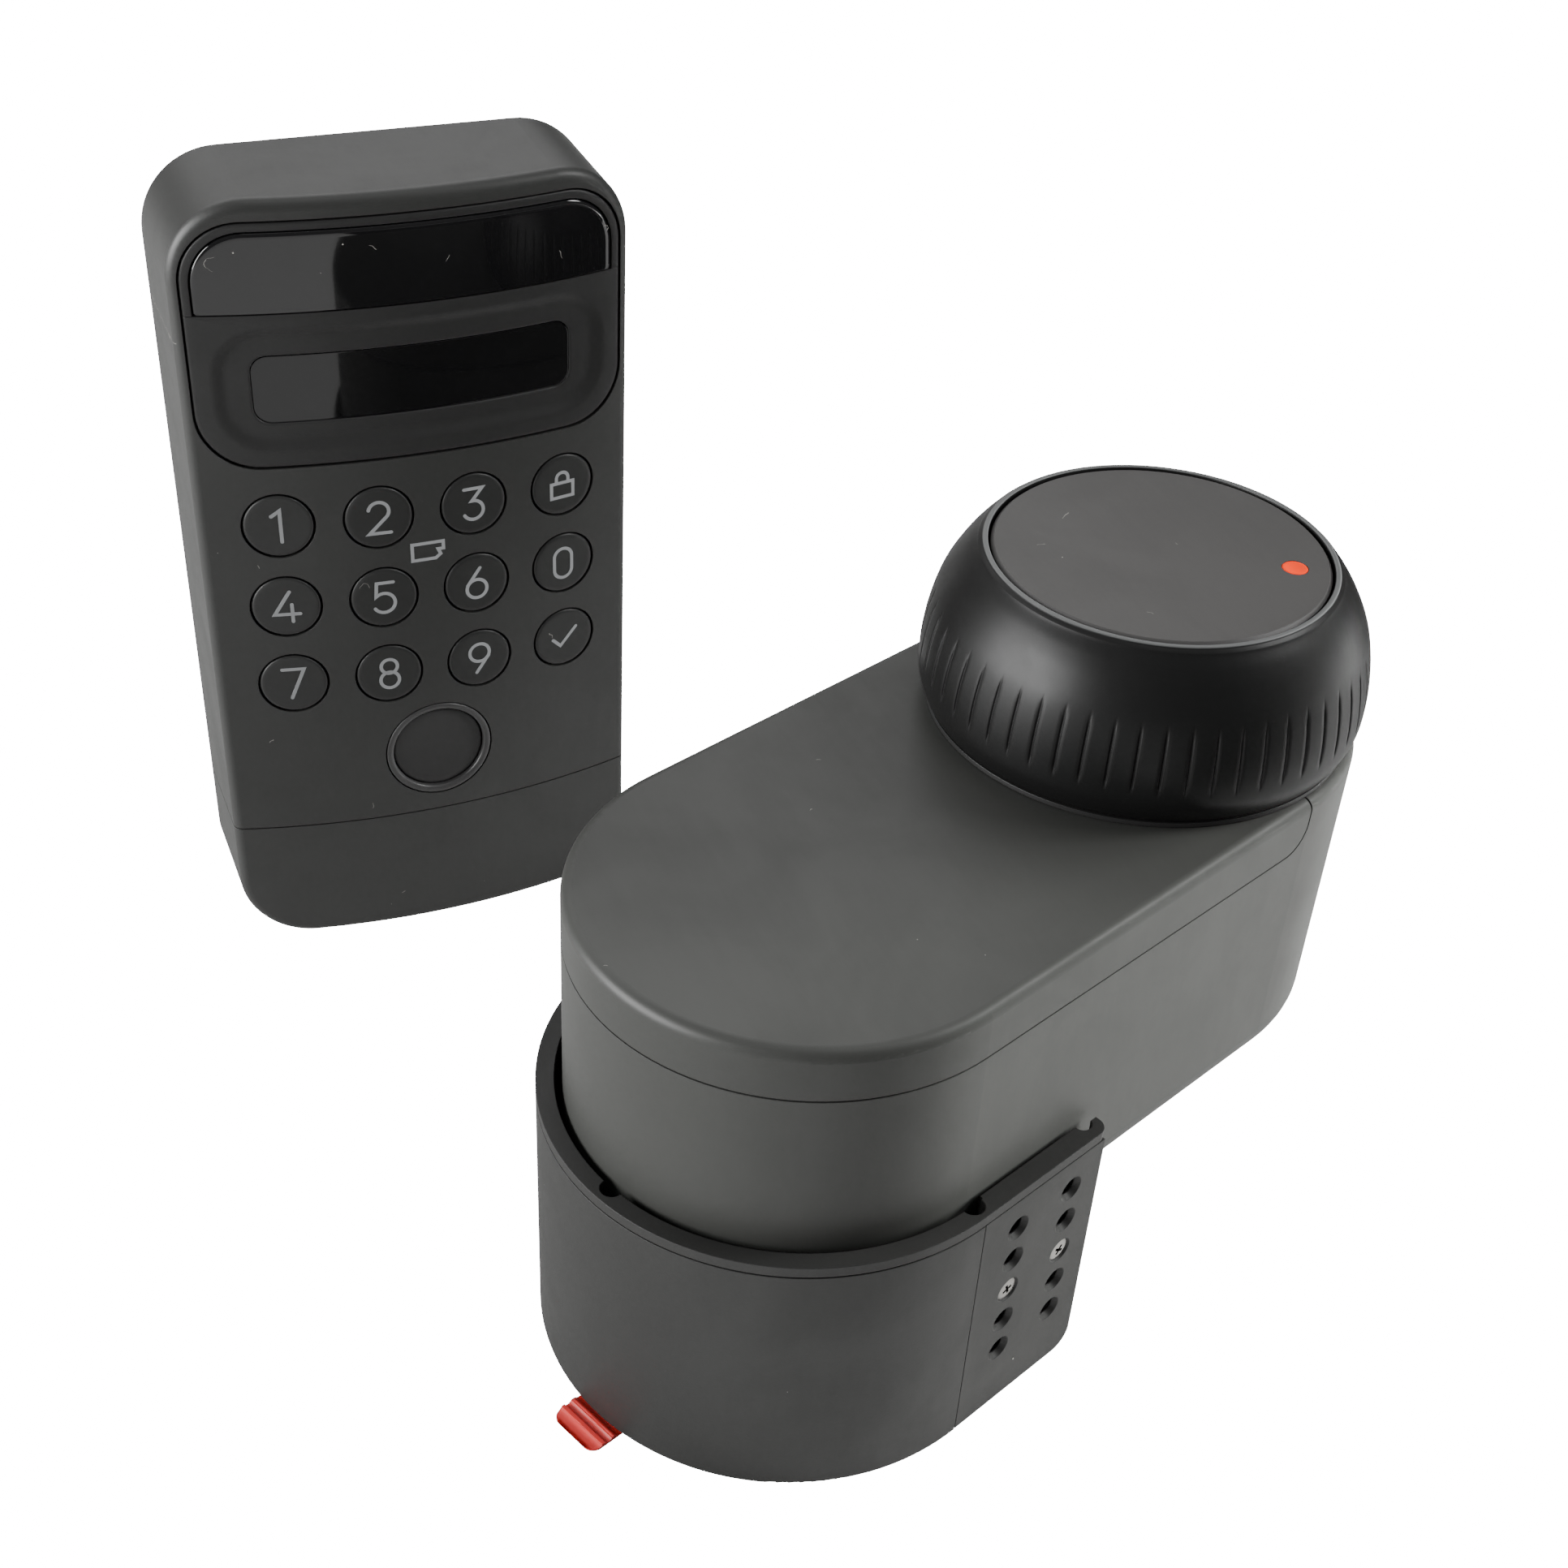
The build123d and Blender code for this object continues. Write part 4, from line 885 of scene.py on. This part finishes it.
key_charcoal = finish("key_charcoal", (0.0130, 0.0134, 0.0130), 0.44, light=1.15, grain=(4600.0, 0.0035),
                      marks=0.08, dust=(0.008, 0.01), edge=0.0, turn=UPRIGHT)
sign_grey = finish("sign_grey", (0.215, 0.22, 0.225), 0.55, light=1.15, grain=(2600.0, 0.004), edge=0.0)
PROUD, CAP_DEEP, FLANGE_R, SHELL_THICK = 0.08, 4.9, 5.6, 3.0
key_rows = (("1", "2", "3", "lock"), ("4", "5", "6", "0"), ("7", "8", "9", "check"))
for row, names in enumerate(key_rows):
    for col, name in enumerate(names):
        u0, v0 = (col - 1.5) * KEY_PITCH_U, KEY_TOP_V - row * KEY_PITCH_V
        behind = SHELL_THICK + pad_point(abs(u0) + FLANGE_R, 0, 0)[1] - pad_point(u0, 0, 0)[1]
        cap = [(0, -PROUD + 0.05), (2.0, -PROUD + 0.045), (3.4, -PROUD + 0.02), (4.1, -PROUD), (4.4, -PROUD),
               (4.58, -PROUD + 0.03), (4.72, -PROUD + 0.10), (4.81, -PROUD + 0.22), (KEY_R, -PROUD + 0.40),
               (KEY_R, behind + 0.42), (FLANGE_R, behind + 0.46), (FLANGE_R, behind + 1.1),
               (KEY_R, max(CAP_DEEP, behind + 1.12)), (0, max(CAP_DEEP, behind + 1.12))]
        points, faces = disc_on_face(u0, v0, cap)
        key = mesh_piece(f"keycap_{name}", points, faces, key_charcoal, smooth=50)
        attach(key, f"key_{name}")
        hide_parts(f"key_{name}")
        sign = ink_piece(f"sign_{name}", u0, v0, SIGNS[name], -PROUD + 0.03, sign_grey)
        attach(sign, f"key_{name}")
card = ink_piece("sign_card", -0.2, 68.5, SIGNS["card"], 0.0, sign_grey)
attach(card, "keypad")

# ---------------------------------------------------------------- fingerprint reader
# A thin raised ring guides the fingertip into a shallow hollow, whose floor is the coated sensor. Both are
# black polycarbonate parts, set in the shell from behind.
reader_ring = finish("reader_ring", (0.030, 0.030, 0.030), 0.34, light=1.3, grain=(3800.0, 0.003), edge=0.0,
                     turn=UPRIGHT)
RING_V = 33.2
points, faces = disc_on_face(0, RING_V, [(8.25, 2.2), (8.25, 0.10), (8.2, 0.0), (8.08, -0.07), (7.85, -0.10),
                                         (7.6, -0.08), (7.35, 0.02), (7.2, 0.18), (7.15, 0.36), (7.15, 2.2),
                                         (8.25, 2.2)], 120)
ring = mesh_piece("reader_guide_ring", points, faces, reader_ring, smooth=50)
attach(ring, "keypad")
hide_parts("fingerprint_ring")
reader_black = finish("reader_black", (0.0150, 0.0150, 0.0150), 0.42, light=1.15, grain=(4600.0, 0.003),
                      edge=0.0, marks=0.1, dust=(0.01, 0.0), turn=UPRIGHT)
points, faces = disc_on_face(0, RING_V, [(0, 0.92), (2.0, 0.90), (4.0, 0.82), (5.6, 0.70), (6.5, 0.64),
                                         (6.8, 0.66), (6.95, 0.74), (7.0, 0.90), (7.0, 4.2), (0, 4.2)], 120)
reader = mesh_piece("reader_pad", points, faces, reader_black, smooth=50)
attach(reader, "keypad")
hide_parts("fingerprint_sensor")

# ---------------------------------------------------------------- inside the keypad
# A moulded mat of grey silicone springs the keys back, and a flat pouch cell in silvery foil powers the
# board behind it.
silicone_grey = finish("silicone_grey", (0.20, 0.20, 0.21), 0.62, light=1.2, grain=(1800.0, 0.01),
                       Subsurface_Weight=0.1, Subsurface_Scale=0.001)
dress(silicone_grey, "key_mat")
pouch_silver = finish("pouch_silver", (0.55, 0.56, 0.57), 0.28, light=1.2, grain=(260.0, 0.05), marks=0.2,
                      metallic=0.85)
dress(pouch_silver, "keypad_battery")

# ---------------------------------------------------------------- floor, lights and camera
# A pale table under broad soft panels at the left, the right, the back and overhead. The right one adds no
# glints. Two black cards, unseen, keep the keypad's face deep: one to mirror, one that shades it.
FLOOR_HALF, FLOOR_DROP, WHITE_GLOW, AMBIENT = 6.0, 0.0002, 18.0, 0.18
floor_mesh = bpy.data.meshes.new("floor")
floor_mesh.from_pydata([(-FLOOR_HALF, -FLOOR_HALF, 0), (FLOOR_HALF, -FLOOR_HALF, 0),
                        (FLOOR_HALF, FLOOR_HALF, 0), (-FLOOR_HALF, FLOOR_HALF, 0)], [], [(0, 1, 2, 3)])
floor = put("floor", floor_mesh)
floor.location.z = -FLOOR_DROP
floor_white = bpy.data.materials.new("floor_white")
floor_white.use_nodes = True
tree = floor_white.node_tree
paper = tree.nodes["Principled BSDF"]
paper.inputs["Base Color"].default_value = (0.55, 0.55, 0.545, 1)
paper.inputs["Roughness"].default_value = 0.9
seen = add(tree, "ShaderNodeLightPath")
glow = maths(tree, "MULTIPLY", seen.outputs["Is Camera Ray"], WHITE_GLOW)
tree.links.new(glow, paper.inputs["Emission Strength"])
paper.inputs["Emission Color"].default_value = (1, 1, 1, 1)
floor_mesh.materials.append(floor_white)


def panel_light(name, place, size, power, target=(0.02, 0.04, 0.05)):
    lamp = bpy.data.lights.new(name, "AREA")
    lamp.shape, lamp.size, lamp.size_y = "RECTANGLE", *size
    lamp.energy = power
    holder = put(name, lamp)
    holder.location = place
    holder.rotation_mode = "QUATERNION"
    holder.rotation_quaternion = (Vector(target) - Vector(place)).to_track_quat("-Z", "Y")
    return holder


panel_light("back_panel", (0.03, 0.95, 0.95), (1.3, 0.9), 7.4)
panel_light("overhead_panel", (0.05, -0.10, 1.40), (0.7, 0.7), 2.0)
panel_light("left_panel", (-1.10, 0.12, 0.36), (0.9, 0.7), 29.0)
right_panel = panel_light("right_panel", (1.15, -0.08, 0.18), (0.45, 0.5), 84.0)
right_panel.visible_glossy = False
panel_light("accent_panel", (0.85, -0.25, 0.80), (0.3, 0.3), 6.5)

card_black = bpy.data.materials.new("card_black")
card_black.use_nodes = True
felt = card_black.node_tree.nodes["Principled BSDF"]
felt.inputs["Base Color"].default_value = (0.01, 0.01, 0.01, 1)
felt.inputs["Roughness"].default_value = 0.9
for name, corners in (
        ("dark_card", ((0.0, -0.10, 0.001), (0.60, -0.10, 0.001), (0.60, -0.80, 0.001), (0.0, -0.80, 0.001))),
        ("flag_card", ((0.25, 0.035, 0.001), (0.25, 0.40, 0.001), (0.25, 0.40, 0.40), (0.25, 0.035, 0.40)))):
    card_mesh = bpy.data.meshes.new(name)
    card_mesh.from_pydata(corners, [], [(0, 1, 2, 3)])
    card_mesh.materials.append(card_black)
    black_card = put(name, card_mesh)
    black_card.visible_camera = False

world = bpy.data.worlds.new("studio")
bpy.context.scene.world = world
world.use_nodes = True
tree = world.node_tree
sky = tree.nodes["Background"]
sky.inputs["Color"].default_value = (1, 1, 1, 1)
seen = add(tree, "ShaderNodeLightPath")
strength = maths(tree, "MULTIPLY_ADD", seen.outputs["Is Camera Ray"], WHITE_GLOW, AMBIENT)
tree.links.new(strength, sky.inputs["Strength"])

camera = bpy.data.cameras.new("camera")
camera.sensor_width, camera.lens = 36.0, 51.397
camera.shift_x, camera.shift_y = -0.0141, 0.0604
camera.clip_start, camera.clip_end = 0.01, 50.0
eye = put("camera", camera)
eye.location = (-0.09012, -0.18707, 0.23738)
eye.rotation_euler = (math.radians(51.527), math.radians(-3.309), math.radians(-22.959))
bpy.context.scene.camera = eye
